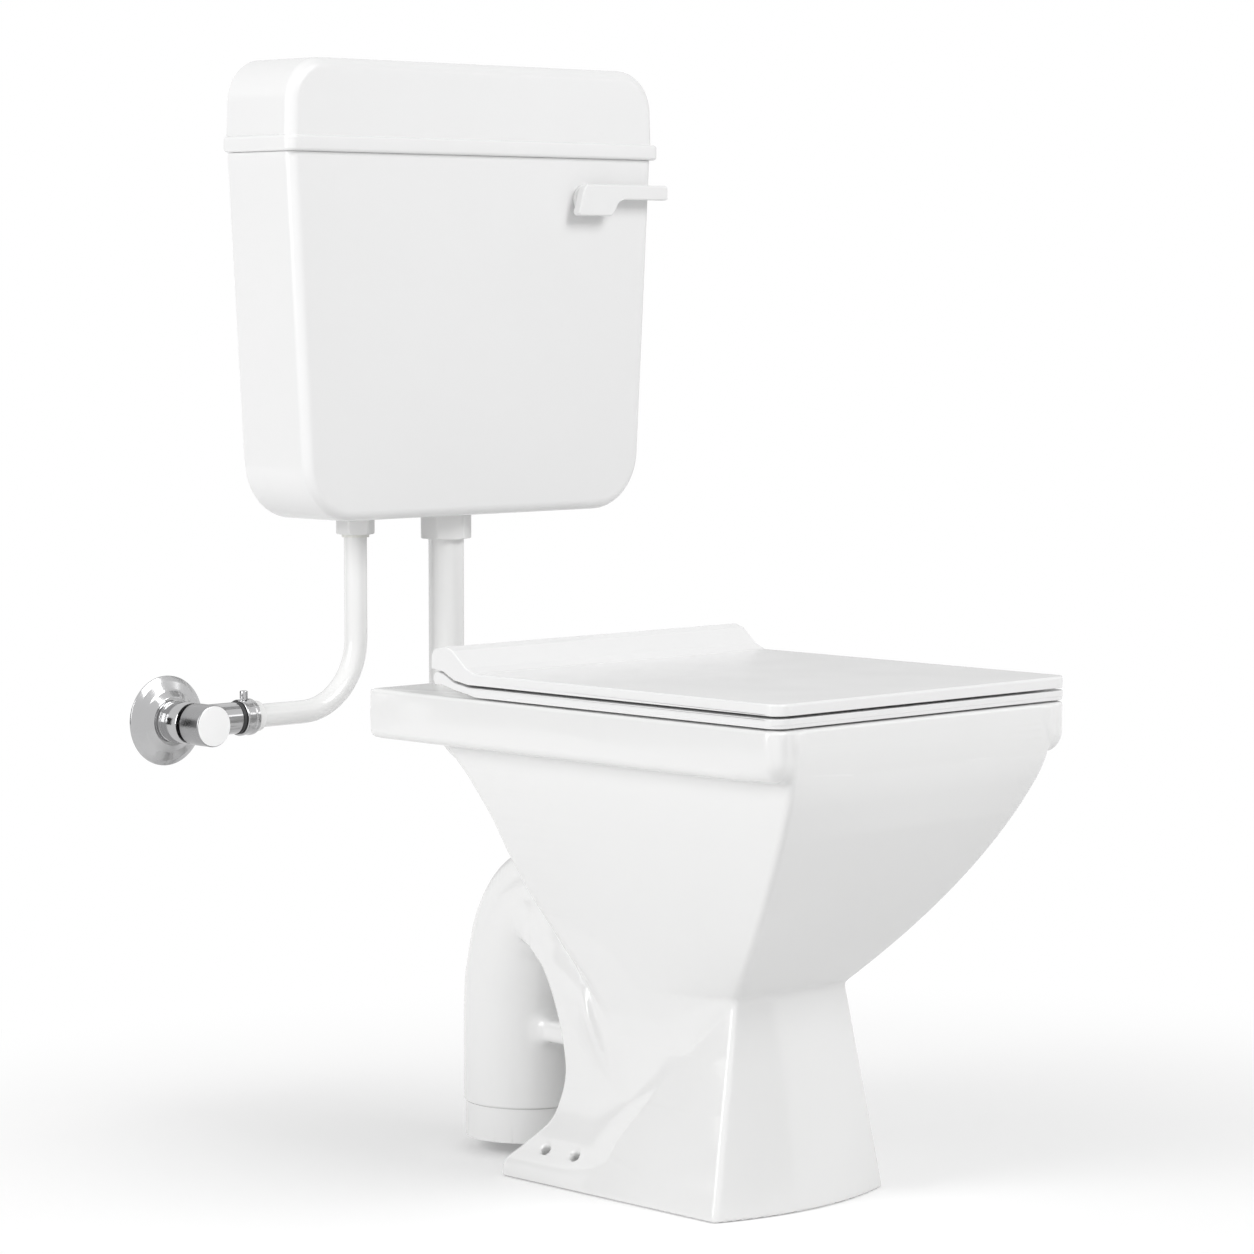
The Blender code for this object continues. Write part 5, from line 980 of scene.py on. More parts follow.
def make_hinges(finish):
    """One finely turned post on each side: foot plate, lug with its barrel, and the stud below."""
    base = RIM_Z + GAP
    for side, hand in ((-1, "left"), (1, "right")):
        centre = (side * HINGE_X, POST_BACK, 0)
        plate = [(POST_BORE, base), (POST_RADIUS, base)]
        plate += [(POST_RADIUS - out, base + POST_PLATE - drawn) for out, drawn in quarter(POST_EDGE)]
        plate += [(POST_BORE, base + POST_PLATE)]
        post = Shape().turn(plate, "Z", centre)
        stud = rod_profile(STUD_RADIUS, base - STUD_LENGTH, base + POST_PLATE / 2, 0.0005)
        post.turn(stud, "Z", centre, 32)
        low, high = sorted((side * LUG_X[0], side * LUG_X[1]))
        post.block((low, HINGE_BACK - LUG_HALF, base + 0.001), (high, HINGE_BACK + LUG_HALF, HINGE_Z), 0.0005)
        post.turn(rod_profile(BARREL_RADIUS, low, high), "X", (0, HINGE_BACK, HINGE_Z), 40)
        place(post.build("hinge_post_fine_" + hand, finish), "suite", "steel", "hinge_post_" + hand)


# Geometry Nodes


def new_tree(name, inputs, kind="Geometry", output=("Geometry", "Geometry")):
    """A tree with named inputs (label, kind, value) and one output (label, kind)."""
    tree = bpy.data.node_groups.new(name, kind + "NodeTree")
    for label, sort, value in inputs:
        socket = tree.interface.new_socket(label, in_out="INPUT", socket_type="NodeSocket" + sort)
        if value is not None:
            socket.default_value = value
    tree.interface.new_socket(output[0], in_out="OUTPUT", socket_type="NodeSocket" + output[1])
    return tree, tree.nodes.new("NodeGroupInput").outputs, tree.nodes.new("NodeGroupOutput").inputs[0]


def add(tree, kind, into=None, **settings):
    """Adds a node; each of its inputs gets a link from a socket, or a plain value."""
    node = tree.nodes.new(kind)
    for name, value in settings.items():
        setattr(node, name, value)
    for name, source in (into or {}).items():
        if isinstance(source, bpy.types.NodeSocket):
            tree.links.new(source, node.inputs[name])
        else:
            node.inputs[name].default_value = source
    return node


def end_tree(tree, source, start, end):
    """Realizes instances, sets the material and closes the tree."""
    solid = add(tree, "GeometryNodeRealizeInstances", {0: source})
    coat = add(tree, "GeometryNodeSetMaterial", {"Geometry": solid.outputs[0], "Material": start["Finish"]})
    tree.links.new(coat.outputs[0], end)
    return tree


def pipe_tree():
    """A round pipe along the edges of a mesh, with its corners bent."""
    tree, start, end = new_tree("Bent pipe", (
        ("Geometry", "Geometry", None), ("Radius", "Float", 0.01), ("Bend", "Float", 0.05),
        ("Bend Steps", "Int", 24), ("Sides", "Int", PIPE_STEPS), ("Finish", "Material", None)))
    line = add(tree, "GeometryNodeMeshToCurve", {"Mesh": start["Geometry"]})
    bends = {"Curve": line.outputs[0], "Radius": start["Bend"], "Count": start["Bend Steps"]}
    fillet = add(tree, "GeometryNodeFilletCurve", bends, mode="POLY")
    ring = add(tree, "GeometryNodeCurvePrimitiveCircle",
               {"Radius": start["Radius"], "Resolution": start["Sides"]})
    skin = add(tree, "GeometryNodeCurveToMesh",
               {"Fill Caps": True, "Curve": fillet.outputs[0], "Profile Curve": ring.outputs[0]})
    return end_tree(tree, skin.outputs[0], start, end)


def copies_tree():
    """Puts one made shape on every point."""
    tree, start, end = new_tree("Copies on points", (
        ("Geometry", "Geometry", None), ("Shape", "Object", None), ("Size", "Float", 1.0),
        ("Finish", "Material", None)))
    spots = add(tree, "GeometryNodeMeshToPoints", {"Mesh": start["Geometry"]})
    shape = add(tree, "GeometryNodeObjectInfo", {"Object": start["Shape"]})
    copies = add(tree, "GeometryNodeInstanceOnPoints",
                 {"Points": spots.outputs[0], "Instance": shape.outputs["Geometry"], "Scale": start["Size"]})
    return end_tree(tree, copies.outputs[0], start, end)


def rings_tree():
    """A row of thread rings round an axis along y."""
    tree, start, end = new_tree("Thread rings", (
        ("Geometry", "Geometry", None), ("Count", "Int", 5), ("Pitch", "Float", 0.0012),
        ("Radius", "Float", 0.009), ("Depth", "Float", 0.0004), ("Finish", "Material", None)))
    offset = add(tree, "ShaderNodeCombineXYZ", {"Y": start["Pitch"]})
    row = add(tree, "GeometryNodeMeshLine", {"Count": start["Count"], "Offset": offset.outputs[0]})
    big = add(tree, "GeometryNodeCurvePrimitiveCircle", {"Resolution": 56, "Radius": start["Radius"]})
    small = add(tree, "GeometryNodeCurvePrimitiveCircle", {"Resolution": 8, "Radius": start["Depth"]})
    skin = add(tree, "GeometryNodeCurveToMesh", {"Curve": big.outputs[0], "Profile Curve": small.outputs[0]})
    tilt = add(tree, "GeometryNodeTransform",
               {"Rotation": (math.pi / 2, 0, 0), "Geometry": skin.outputs[0]})
    spot = add(tree, "GeometryNodeInputPosition")
    first = add(tree, "GeometryNodeSampleIndex", data_type="FLOAT_VECTOR")
    tree.links.new(start["Geometry"], first.inputs["Geometry"])
    tree.links.new(spot.outputs[0], first.inputs["Value"])
    shift = add(tree, "GeometryNodeSetPosition", {"Geometry": row.outputs[0], "Offset": first.outputs[0]})
    copies = add(tree, "GeometryNodeInstanceOnPoints",
                 {"Points": shift.outputs[0], "Instance": tilt.outputs[0]})
    return end_tree(tree, copies.outputs[0], start, end)


def grow(name, spots, edges, tree, angle=FINE_ANGLE, **values):
    """Runs a tree on points or edges and keeps the result as a plain mesh."""
    mesh = bpy.data.meshes.new(name)
    mesh.from_pydata([(x, back - ORIGIN_BACK, z) for x, back, z in spots], edges, [])
    obj = bpy.data.objects.new(name, mesh)
    bpy.context.scene.collection.objects.link(obj)
    step = obj.modifiers.new(tree.name, "NODES")
    step.node_group = tree
    for socket in tree.interface.items_tree:
        key = socket.name.lower().replace(" ", "_")
        if socket.item_type == "SOCKET" and socket.in_out == "INPUT" and key in values:
            step[socket.identifier] = values[key]
    mesh.materials.append(values["finish"])
    settle(obj)
    body = bmesh.new()
    body.from_mesh(obj.data)
    bmesh.ops.remove_doubles(body, verts=body.verts, dist=1e-6)
    bmesh.ops.recalc_face_normals(body, faces=body.faces)
    body.to_mesh(obj.data)
    body.free()
    while len(obj.data.materials) > 1:
        obj.data.materials.pop()
    shade(obj, angle)
    return obj


def make_pipes(finish, rubber):
    tree = pipe_tree()
    flush = grow("flush_pipe_bent", ((0, SIPHON_BACK, FLUSH_PIPE_TOP_Z), (0, SIPHON_BACK, HORN_Z),
                                     (0, FLUSH_PIPE_END, HORN_Z)), ((0, 1), (1, 2)), tree,
                 radius=FLUSH_PIPE_RADIUS, bend=FLUSH_BEND, finish=finish)
    place(flush, "suite", "white_fitting", "flush_pipe")
    inlet = grow("inlet_pipe_bent", ((VALVE_X, VALVE_BACK, INLET_PIPE_TOP_Z), (VALVE_X, VALVE_BACK, COCK_Z),
                                     (COCK_PIPE_END_X, VALVE_BACK, COCK_Z)), ((0, 1), (1, 2)), tree,
                 radius=INLET_PIPE_RADIUS, bend=INLET_BEND, finish=finish)
    place(inlet, "suite", "white_fitting", "inlet_pipe")
    wide, narrow, lip = HORN_RADIUS + GAP, FLUSH_PIPE_RADIUS + GAP, 0.0012
    start, step, neck, stop = CONE_BACK
    cone = Shape().lathe(((start, wide, 0), (start, wide + CONE_WALL, lip), (step, wide + CONE_WALL, 0.004),
                          (neck, narrow + CONE_WALL, 0.006), (stop, narrow + CONE_WALL, lip),
                          (stop, narrow, 0), (neck, narrow, 0.003), (step, wide, 0.003)),
                         5, "Y", (0, 0, HORN_Z), closed=True)
    place(cone.build("flush_cone_turned", rubber), "suite", "dark_rubber", "flush_cone")


def make_bumpers(finish):
    """Pads under the seat and lid, each set copied from one turned pad."""
    tree = copies_tree()
    for name, body, (low, high), x, backs, nodes in (
            ("seat_pads", "seat_body", SEAT_PAD_Z, SEAT_PAD_X, SEAT_PAD_BACK,
             ("seat_bumper_front_left", "seat_bumper_front_right", "seat_bumper_rear_left",
              "seat_bumper_rear_right")),
            ("lid_pads", "lid_body", LID_PAD_Z, LID_PAD_X, (LID_PAD_BACK,),
             ("lid_bumper_left", "lid_bumper_right"))):
        arc = [(PAD_RADIUS - drawn, out) for out, drawn in quarter(PAD_EDGE)]
        turned = Shape().turn(arc + [(PAD_RADIUS, high - low)], "Z", (0, 0, 0), 40)
        pad = turned.build("pad", finish, False)
        spots = [(side * x, back, low) for side in (-1, 1) for back in backs]
        pads = grow(name, spots, [], tree, shape=pad, size=1.0, finish=finish)
        bpy.data.objects.remove(pad)
        place(pads, body, "pale_rubber", *nodes)


# Cistern, cover and lever


def front_outline(top_half, low_half, low, high, low_radius, high_radius, steps=10):
    """Counter-clockwise (x, z) outline seen from the front, its lower and upper corners rounded."""
    return np.array(round_corners(((-low_half, low, low_radius), (low_half, low, low_radius),
                                   (top_half, high, high_radius), (-top_half, high, high_radius)), steps))


def box_rings(outline, front, back, edge, drawn=0.0, front_steps=9):
    """Rings from front to back of an outline whose front edge is rounded."""
    rings = [(front + out, inset(outline, drawn + inward)) for out, inward in quarter(edge, front_steps)]
    rings.append((back, inset(outline, drawn) if drawn else outline))
    return [[(x, y, z) for x, z in ring] for y, ring in rings]


def keep_top(rings, level, reach=0.012):
    """Brings back to one level the points of each ring that belong to an open top."""
    return [[(x, y, level if z > level - reach else z) for x, y, z in ring] for ring in rings]


def level_low(rings, reach, level):
    """Puts all points below a height on one level."""
    return [[(x, y, level if z < reach else z) for x, y, z in ring] for ring in rings]


def soft_ends(low, high, edge):
    """(level, how far drawn in) pairs of a plate whose two edges are rounded."""
    return ([(low + out, drawn) for out, drawn in quarter(edge)]
            + [(high - drawn, out) for out, drawn in quarter(edge)])


def make_tank(finish):
    outline = front_outline(TANK_TOP_HALF, TANK_LOW_HALF, TANK_LOW_Z, TANK_TOP_Z, TANK_CORNER, 0)
    rings = keep_top(box_rings(outline, TANK_FRONT, WALL_BACK, TANK_EDGE), TANK_TOP_Z)
    tank = Shape().loft(rings).build("tank_shell", finish)
    hollow = box_rings(outline, TANK_FRONT + TANK_WALL, WALL_BACK - TANK_WALL, TANK_EDGE - TANK_WALL,
                       TANK_WALL, 6)
    hollow = keep_top(hollow, TANK_TOP_Z)
    hollow = [[(x, y, z + CUT_PAST if z > TANK_TOP_Z - 0.001 else z) for x, y, z in ring] for ring in hollow]
    boolean(tank, Shape().loft(hollow).build("hollow", finish))
    holes = Shape()
    past = CUT_PAST / 2
    floor = (TANK_LOW_Z - past, TANK_LOW_Z + TANK_WALL + past)
    front, wall = (TANK_FRONT - past, TANK_FRONT + CUT_PAST), (WALL_BACK - past, WALL_BACK + past)
    for radius, reach, axis, centre, steps in (
            (SIPHON_HOLE_RADIUS, floor, "Z", (0, SIPHON_BACK, 0), 48),
            (VALVE_HOLE_RADIUS, floor, "Z", (VALVE_X, VALVE_BACK, 0), 40),
            (BUSH_RADIUS + GAP, front, "Y", (LEVER_X, 0, LEVER_Z), 40),
            (HANG_HOLE_RADIUS, wall, "Y", (-HANG_HOLE_X, 0, HANG_HOLE_Z), 32),
            (HANG_HOLE_RADIUS, wall, "Y", (HANG_HOLE_X, 0, HANG_HOLE_Z), 32)):
        holes.turn([(radius, along) for along in reach], axis, centre, steps)
    boolean(tank, holes.build("holes", finish))
    shade(tank)
    even_shading(tank)
    return place(tank, "suite", "white_gloss_plastic", "tank")


def make_cover(finish):
    low = TANK_TOP_Z + GAP
    top = low + BAND_HEIGHT
    outline = front_outline(COVER_HALF - COVER_TAPER, COVER_HALF, low, COVER_TOP_Z, 0, COVER_CORNER)
    rings = level_low(box_rings(outline, COVER_FRONT, WALL_BACK, COVER_EDGE), low + COVER_EDGE + 0.002, low)
    cover = Shape().loft(rings).build("cover_shell", finish)
    half, front, back = TANK_TOP_HALF + BAND_OUT, TANK_FRONT - BAND_OUT, WALL_BACK - GAP
    plan = round_corners(((-half, front, TANK_EDGE), (half, front, TANK_EDGE), (half, back, 0),
                          (-half, back, 0)), 8)
    band = Shape().loft([[(x, y, z) for x, y in inset(plan, drawn)]
                         for z, drawn in soft_ends(low, top, BAND_EDGE)])
    boolean(cover, band.build("band", finish), "UNION")
    inner = box_rings(outline, TANK_FRONT + TANK_WALL, WALL_BACK - TANK_WALL, COVER_EDGE - TANK_WALL,
                      TANK_WALL, 6)
    inner = level_low(inner, low + COVER_EDGE + 0.006, low - CUT_PAST)
    boolean(cover, Shape().loft(inner).build("inner", finish))
    shade(cover)
    even_shading(cover)
    tabs = Shape()
    near = TANK_FRONT + TANK_WALL + 0.0005
    side_x = TANK_TOP_HALF - TANK_WALL - 0.002
    for side in (-1, 1):
        middle = side * TAB_X
        tabs.block((middle - TAB_HALF, near, low - TAB_DEPTH), (middle + TAB_HALF, near + TAB_THICK, top))
        tabs.block((middle - TAB_HALF + GAP, TANK_FRONT + 0.001, low + 0.001),
                   (middle + TAB_HALF - GAP, near + 0.001, top - 0.001), 0.0003)
        span = sorted((side * side_x, side * (side_x - TAB_THICK)))
        tabs.block((span[0], SIPHON_BACK - TAB_HALF, low - TAB_DEPTH), (span[1], SIPHON_BACK + TAB_HALF, top))
        span = sorted((side * (side_x - 0.001), side * (COVER_HALF - 0.001)))
        tabs.block((span[0], SIPHON_BACK - TAB_HALF + GAP, low + 0.001),
                   (span[1], SIPHON_BACK + TAB_HALF - GAP, top - 0.001), 0.0003)
    place(tabs.build("cover_tabs", finish), "cover_body", "white_gloss_plastic")
    return place(cover, "cover_body", "white_gloss_plastic", "tank_lid")


def make_lever(finish):
    outline = np.array(round_corners([(out, up, radius) for out, up, radius in reversed(LEVER_OUTLINE)], 6))
    area = np.sum(outline[:, 0] * np.roll(outline[:, 1], -1) - np.roll(outline[:, 0], -1) * outline[:, 1])
    outline = outline if area > 0 else outline[::-1]
    end = LEVER_FRONT + LEVER_THICK
    rings = [[(LEVER_X + x, y, LEVER_Z + z) for x, z in inset(outline, drawn)]
             for y, drawn in soft_ends(LEVER_FRONT, end, LEVER_EDGE)]
    lever = Shape().loft(rings)
    centre = (LEVER_X, 0, LEVER_Z)
    lever.turn([(LEVER_BOSS_RADIUS, end - 0.001), (LEVER_BOSS_RADIUS, LEVER_BOSS_END - 0.0005),
                (LEVER_BOSS_RADIUS - 0.0005, LEVER_BOSS_END)], "Y", centre, 48)
    lever.turn(rod_profile(SPINDLE_RADIUS, LEVER_BOSS_END - 0.001, SPINDLE_END), "Y", centre, 32)
    obj = lever.build("lever_handle", finish)
    even_shading(obj)
    place(obj, "lever_body", "white_gloss_plastic", "lever")

    bore, start, wall = SPINDLE_RADIUS + GAP, LEVER_BOSS_END + GAP, TANK_FRONT - GAP
    bush = Shape().lathe(((start, bore, 0), (start, BUSH_FLANGE_RADIUS, 0.001),
                          (wall, BUSH_FLANGE_RADIUS, 0.0005), (wall, BUSH_RADIUS, 0),
                          (BUSH_END, BUSH_RADIUS, 0.0005), (BUSH_END, bore, 0)), 4, "Y", centre, closed=True)
    place(bush.build("lever_bush_turned", finish), "suite", "white_gloss_plastic", "lever_bush")
    inside = TANK_FRONT + TANK_WALL + GAP
    nut = hexagon_nut("lever_nut_cut", LEVER_NUT_FLATS, inside, inside + LEVER_NUT_THICK,
                      BUSH_RADIUS + GAP, centre, finish, "Y")
    place(nut, "suite", "white_gloss_plastic", "lever_nut")
    rings = grow("bush_thread", ((LEVER_X, inside + LEVER_NUT_THICK + 0.0009, LEVER_Z),), [], rings_tree(),
                 count=5, pitch=0.0012, radius=BUSH_RADIUS - 0.0001, depth=0.0004, finish=finish)
    place(rings, "suite", "white_gloss_plastic")


# Nuts


def hexagon_nut(name, flats, low, high, bore, centre, finish, axis="Z", chamfer=0.0016):
    """A hexagon nut whose corners are turned down at both ends."""
    half = flats / 2
    rows = ((low, chamfer), (low + chamfer * 0.55, 0.0), (high - chamfer * 0.55, 0.0), (high, chamfer))
    outer = []
    for level, drawn in rows:
        limit = half / math.cos(math.pi / 6) - drawn
        ring = []
        for step in range(NUT_STEPS):
            angle = math.tau * step / NUT_STEPS
            near = (angle + math.pi / 6) % (math.pi / 3) - math.pi / 6
            reach = min(half / math.cos(near), limit, half / math.cos(math.pi / 6) - 0.0005)
            ring.append((reach * math.cos(angle), reach * math.sin(angle), level))
        outer.append(ring)
    turns = [math.tau * step / NUT_STEPS for step in range(NUT_STEPS)]
    inner = [[(bore * math.cos(turn), bore * math.sin(turn), level) for turn in turns]
             for level in (high, low)]
    nut = Shape().loft(outer + inner, loop=True)
    if axis == "Y":
        nut.points = [(x + centre[0], z, y + centre[2]) for x, y, z in nut.points]
    else:
        nut.points = [(x + centre[0], y + centre[1], z) for x, y, z in nut.points]
    return nut.build(name, finish, angle=math.radians(20))


def make_nuts(finish):
    """Coupling nuts under the cistern, their corners turned down at both ends."""
    for name, node, flats, low, bore, x, back in (
            ("flush_nut_cut", "flush_nut", FLUSH_NUT_FLATS, FLUSH_NUT_Z, FLUSH_PIPE_RADIUS,
             0.0, SIPHON_BACK),
            ("valve_nut_cut", "valve_nut", VALVE_NUT_FLATS, VALVE_NUT_Z, INLET_PIPE_RADIUS,
             VALVE_X, VALVE_BACK)):
        nut = hexagon_nut(name, flats, low, TANK_LOW_Z - GAP, bore + GAP, (x, back, 0), finish)
        place(nut, "suite", "white_fitting", node)


# Stop cock


def make_cock(chrome, satin, rubber, white):
    """Wall flange, body with its side branch, knob with a near-white disc on its end painted in as a lamp's
    glint, and the seal, clamp and collar of the pipe joint.
    """
    centre = (COCK_X, 0, COCK_Z)
    bore, face = COCK_RADIUS + GAP, WALL_BACK - FLANGE_DEPTH
    flange = Shape().lathe(((WALL_BACK, bore, 0), (WALL_BACK, FLANGE_RADIUS, 0.0004),
                            (WALL_BACK - 0.0016, FLANGE_RADIUS, 0.0007), (WALL_BACK - 0.0040, 0.0335, 0.004),
                            (WALL_BACK - 0.0066, 0.0262, 0.008), (face, COCK_RADIUS + 0.0030, 0.0010),
                            (face, bore, 0)), 6, "Y", centre, 128, True)
    place(flange.build("cock_dish", chrome), "suite", "chrome", "cock_flange")

    sunk = COCK_RADIUS - GROOVE_DEPTH
    body = Shape().lathe(((COCK_SEAM, COCK_RADIUS, 0.0006), (COCK_GROOVE - 0.0008, COCK_RADIUS, 0.0003),
                          (COCK_GROOVE - 0.0006, sunk, 0.0003), (COCK_GROOVE + 0.0006, sunk, 0.0003),
                          (COCK_GROOVE + 0.0008, COCK_RADIUS, 0.0003), (WALL_BACK, COCK_RADIUS, 0.0004),
                          (WALL_BACK, 0.008, 0)), 3, "Y", centre, 96)
    outlet = (0, VALVE_BACK, COCK_Z)
    body.turn([(BRANCH_RADIUS, COCK_X + 0.008), (BRANCH_RADIUS, OUTLET_FACE_X - 0.0005),
               (BRANCH_RADIUS - 0.0005, OUTLET_FACE_X)], "X", outlet)
    place(body.build("cock_barrel", chrome), "suite", "chrome", "cock_body")

    front, rear, tail = KNOB_FRONT + 0.0005, COCK_SEAM - GAP, COCK_SEAM + 0.010
    knob = Shape().lathe(((front, 0.002, 0), (front, COCK_RADIUS, 0.0012), (rear, COCK_RADIUS, 0.0006),
                          (rear, 0.005, 0.0003), (tail, 0.005, 0.0004), (tail, 0.001, 0)), 6, "Y", centre, 96)
    place(knob.build("cock_handle", satin), "knob_body", "satin_chrome", "cock_knob")
    # Painted reflection: the knob's flat end is a near-white disc that stands in for a lamp's bright glint on
    # the chrome end.
    wide, rear = COCK_RADIUS - 0.0008, KNOB_FRONT + 0.0014
    cap = Shape().lathe(((KNOB_FRONT, 0.0005, 0), (KNOB_FRONT, wide, 0.0004), (rear, wide, 0),
                         (rear, 0.0005, 0)), 4, "Y", centre, 96)
    place(cap.build("cock_handle_cap", finishes()["knob_cap"]), "knob_body", "white_fitting")

    inner = INLET_PIPE_RADIUS + GAP
    for name, radius, low, high, edge, finish, slot, node in (
            ("cock_gasket", SEAL_RADIUS, OUTLET_FACE_X + GAP, SEAL_X, 0.0006, rubber, "dark_rubber",
             "cock_seal"),
            ("pipe_olive", COLLAR_RADIUS, CLAMP_X + GAP, COLLAR_X, 0.0018, white, "white_fitting",
             "cock_collar")):
        ring = Shape().lathe(((low, inner, 0), (low, radius, edge), (high, radius, edge), (high, inner, 0)),
                             6, "X", outlet, closed=True)
        place(ring.build(name, finish), "suite", slot, node)
    low, high = SEAL_X + GAP, CLAMP_X
    clamp = Shape().lathe(((low, inner, 0), (low, CLAMP_RADIUS, 0.0008), (low + 0.0038, CLAMP_RADIUS, 0.0005),
                           (low + 0.0042, CLAMP_WAIST, 0.0005), (high - 0.0042, CLAMP_WAIST, 0.0005),
                           (high - 0.0038, CLAMP_RADIUS, 0.0005), (high, CLAMP_RADIUS, 0.0008),
                           (high, inner, 0)), 4, "X", outlet, closed=True)
    place(clamp.build("pipe_clamp", chrome), "suite", "chrome", "cock_clamp")
    middle, top = (SEAL_X + CLAMP_X) / 2, COCK_Z + CLAMP_RADIUS
    spot = (middle, VALVE_BACK, 0)
    screw = Shape().turn(rod_profile(SCREW_RADIUS, top - 0.0032, top + 0.001), "Z", spot, 24)
    screw.lathe(((top + GAP, 0.0005, 0), (top + GAP, SCREW_HEAD_RADIUS, 0.0004),
                 (top + 0.007, SCREW_HEAD_RADIUS, 0.0009), (top + 0.007, 0.0005, 0)), 4, "Z", spot, 32)
    obj = screw.build("pipe_clamp_screw", chrome)
    slot = Shape().block((middle - 0.004, VALVE_BACK - 0.0005, top + 0.0056),
                         (middle + 0.004, VALVE_BACK + 0.0005, top + 0.009), 0.0001)
    boolean(obj, slot.build("slot", chrome))
    shade(obj)
    place(obj, "suite", "chrome", "clamp_screw")


# Finishes


def noise(tree, start, scale, detail=2.0, stretch=None):
    source = start["Vector"]
    if stretch:
        source = add(tree, "ShaderNodeMapping", {"Scale": stretch, "Vector": source}).outputs[0]
    values = {"Detail": detail, "Vector": source, "Scale": start[scale]}
    return add(tree, "ShaderNodeTexNoise", values).outputs[0]


def spread(tree, source, low, high, span=(0.15, 0.85)):
    """Spreads a slow value between two others."""
    node = add(tree, "ShaderNodeMapRange", {"From Min": span[0], "From Max": span[1], "Value": source,
                                            "To Min": low, "To Max": high}, interpolation_type="SMOOTHSTEP")
    return node.outputs["Result"]


def tone_group():
    """Slow change of lightness over a surface."""
    tree, start, end = new_tree("Surface tone", (
        ("Vector", "Vector", None), ("Color", "Color", None), ("Darkest", "Float", 0.98),
        ("Lightest", "Float", 1.0), ("Scale", "Float", 8.0)), "Shader", ("Color", "Color"))
    value = spread(tree, noise(tree, start, "Scale"), start["Darkest"], start["Lightest"])
    mix = add(tree, "ShaderNodeHueSaturation", {"Color": start["Color"], "Value": value})
    tree.links.new(mix.outputs[0], end)
    return tree


def polish_group():
    """Roughness that wanders slowly between two values."""
    tree, start, end = new_tree("Surface polish", (
        ("Vector", "Vector", None), ("Smoothest", "Float", 0.08), ("Roughest", "Float", 0.14),
        ("Scale", "Float", 14.0)), "Shader", ("Roughness", "Float"))
    value = spread(tree, noise(tree, start, "Scale", 1.0), start["Smoothest"], start["Roughest"])
    tree.links.new(value, end)
    return tree


def relief_group():
    """Height of a slow waviness with a finer grain on it."""
    tree, start, end = new_tree("Surface relief", (
        ("Vector", "Vector", None), ("Wave", "Float", 30.0), ("Grain", "Float", 400.0),
        ("Grain Share", "Float", 0.2)), "Shader", ("Height", "Float"))
    wave, grain = noise(tree, start, "Wave"), noise(tree, start, "Grain")
    mix = add(tree, "ShaderNodeMath", {0: grain, 1: start["Grain Share"], 2: wave}, operation="MULTIPLY_ADD")
    tree.links.new(mix.outputs[0], end)
    return tree


def turning_group():
    """Height of the fine rings that a lathe leaves round an axis along y."""
    tree, start, end = new_tree("Turning marks", (("Vector", "Vector", None), ("Scale", "Float", 60.0)),
                                "Shader", ("Height", "Float"))
    tree.links.new(noise(tree, start, "Scale", 3.0, (0.05, 30.0, 0.05)), end)
    return tree


def glaze_group():
    """Mask of the rare pinholes and specks that a fired glaze shows close up."""
    tree, start, end = new_tree("Glaze specks", (("Vector", "Vector", None), ("Scale", "Float", 120.0)),
                                "Shader", ("Mask", "Float"))
    cells = add(tree, "ShaderNodeTexVoronoi", {"Vector": start["Vector"], "Scale": start["Scale"]})
    near = add(tree, "ShaderNodeMapRange", {"From Min": 0.03, "From Max": 0.05, "To Min": 1.0, "To Max": 0.0,
                                            "Value": cells.outputs["Distance"]})
    tree.links.new(near.outputs[0], end)
    return tree


class Finish:
    """Builds one material from the shared surface groups."""

    def __init__(self, groups, name, colour, metallic=0.0):
        self.groups = groups
        self.material = bpy.data.materials.new(name)
        self.material.use_nodes = True
        self.tree = self.material.node_tree
        self.shader = self.tree.nodes["Principled BSDF"]
        self.shader.inputs["Metallic"].default_value = metallic
        self.place = self.tree.nodes.new("ShaderNodeTexCoord").outputs["Object"]
        self.colour = colour

    def group(self, name, **values):
        node = add(self.tree, "ShaderNodeGroup", node_tree=self.groups[name])
        self.tree.links.new(self.place, node.inputs["Vector"])
        for label, value in values.items():
            node.inputs[label.replace("_", " ")].default_value = value
        return node

    def tone(self, darkest, lightest, scale):
        node = self.group("tone", Color=(*self.colour, 1), Darkest=darkest, Lightest=lightest, Scale=scale)
        self.tree.links.new(node.outputs[0], self.shader.inputs["Base Color"])
        return self

    def polish(self, smoothest, roughest, scale):
        node = self.group("polish", Smoothest=smoothest, Roughest=roughest, Scale=scale)
        self.tree.links.new(node.outputs[0], self.shader.inputs["Roughness"])
        return self

    def relief(self, name, depth, strength=1.0, **values):
        """Depth is the bump's full height in metres."""
        node = self.group(name, **values)
        bump = add(self.tree, "ShaderNodeBump",
                   {"Strength": strength, "Distance": depth, "Height": node.outputs[0]})
        last = self.shader.inputs["Normal"]
        if last.is_linked:
            self.tree.links.new(last.links[0].from_socket, bump.inputs["Normal"])
        self.tree.links.new(bump.outputs[0], last)
        return self

    def sockets(self, **values):
        for label, value in values.items():
            self.shader.inputs[label.replace("_", " ")].default_value = value
        return self


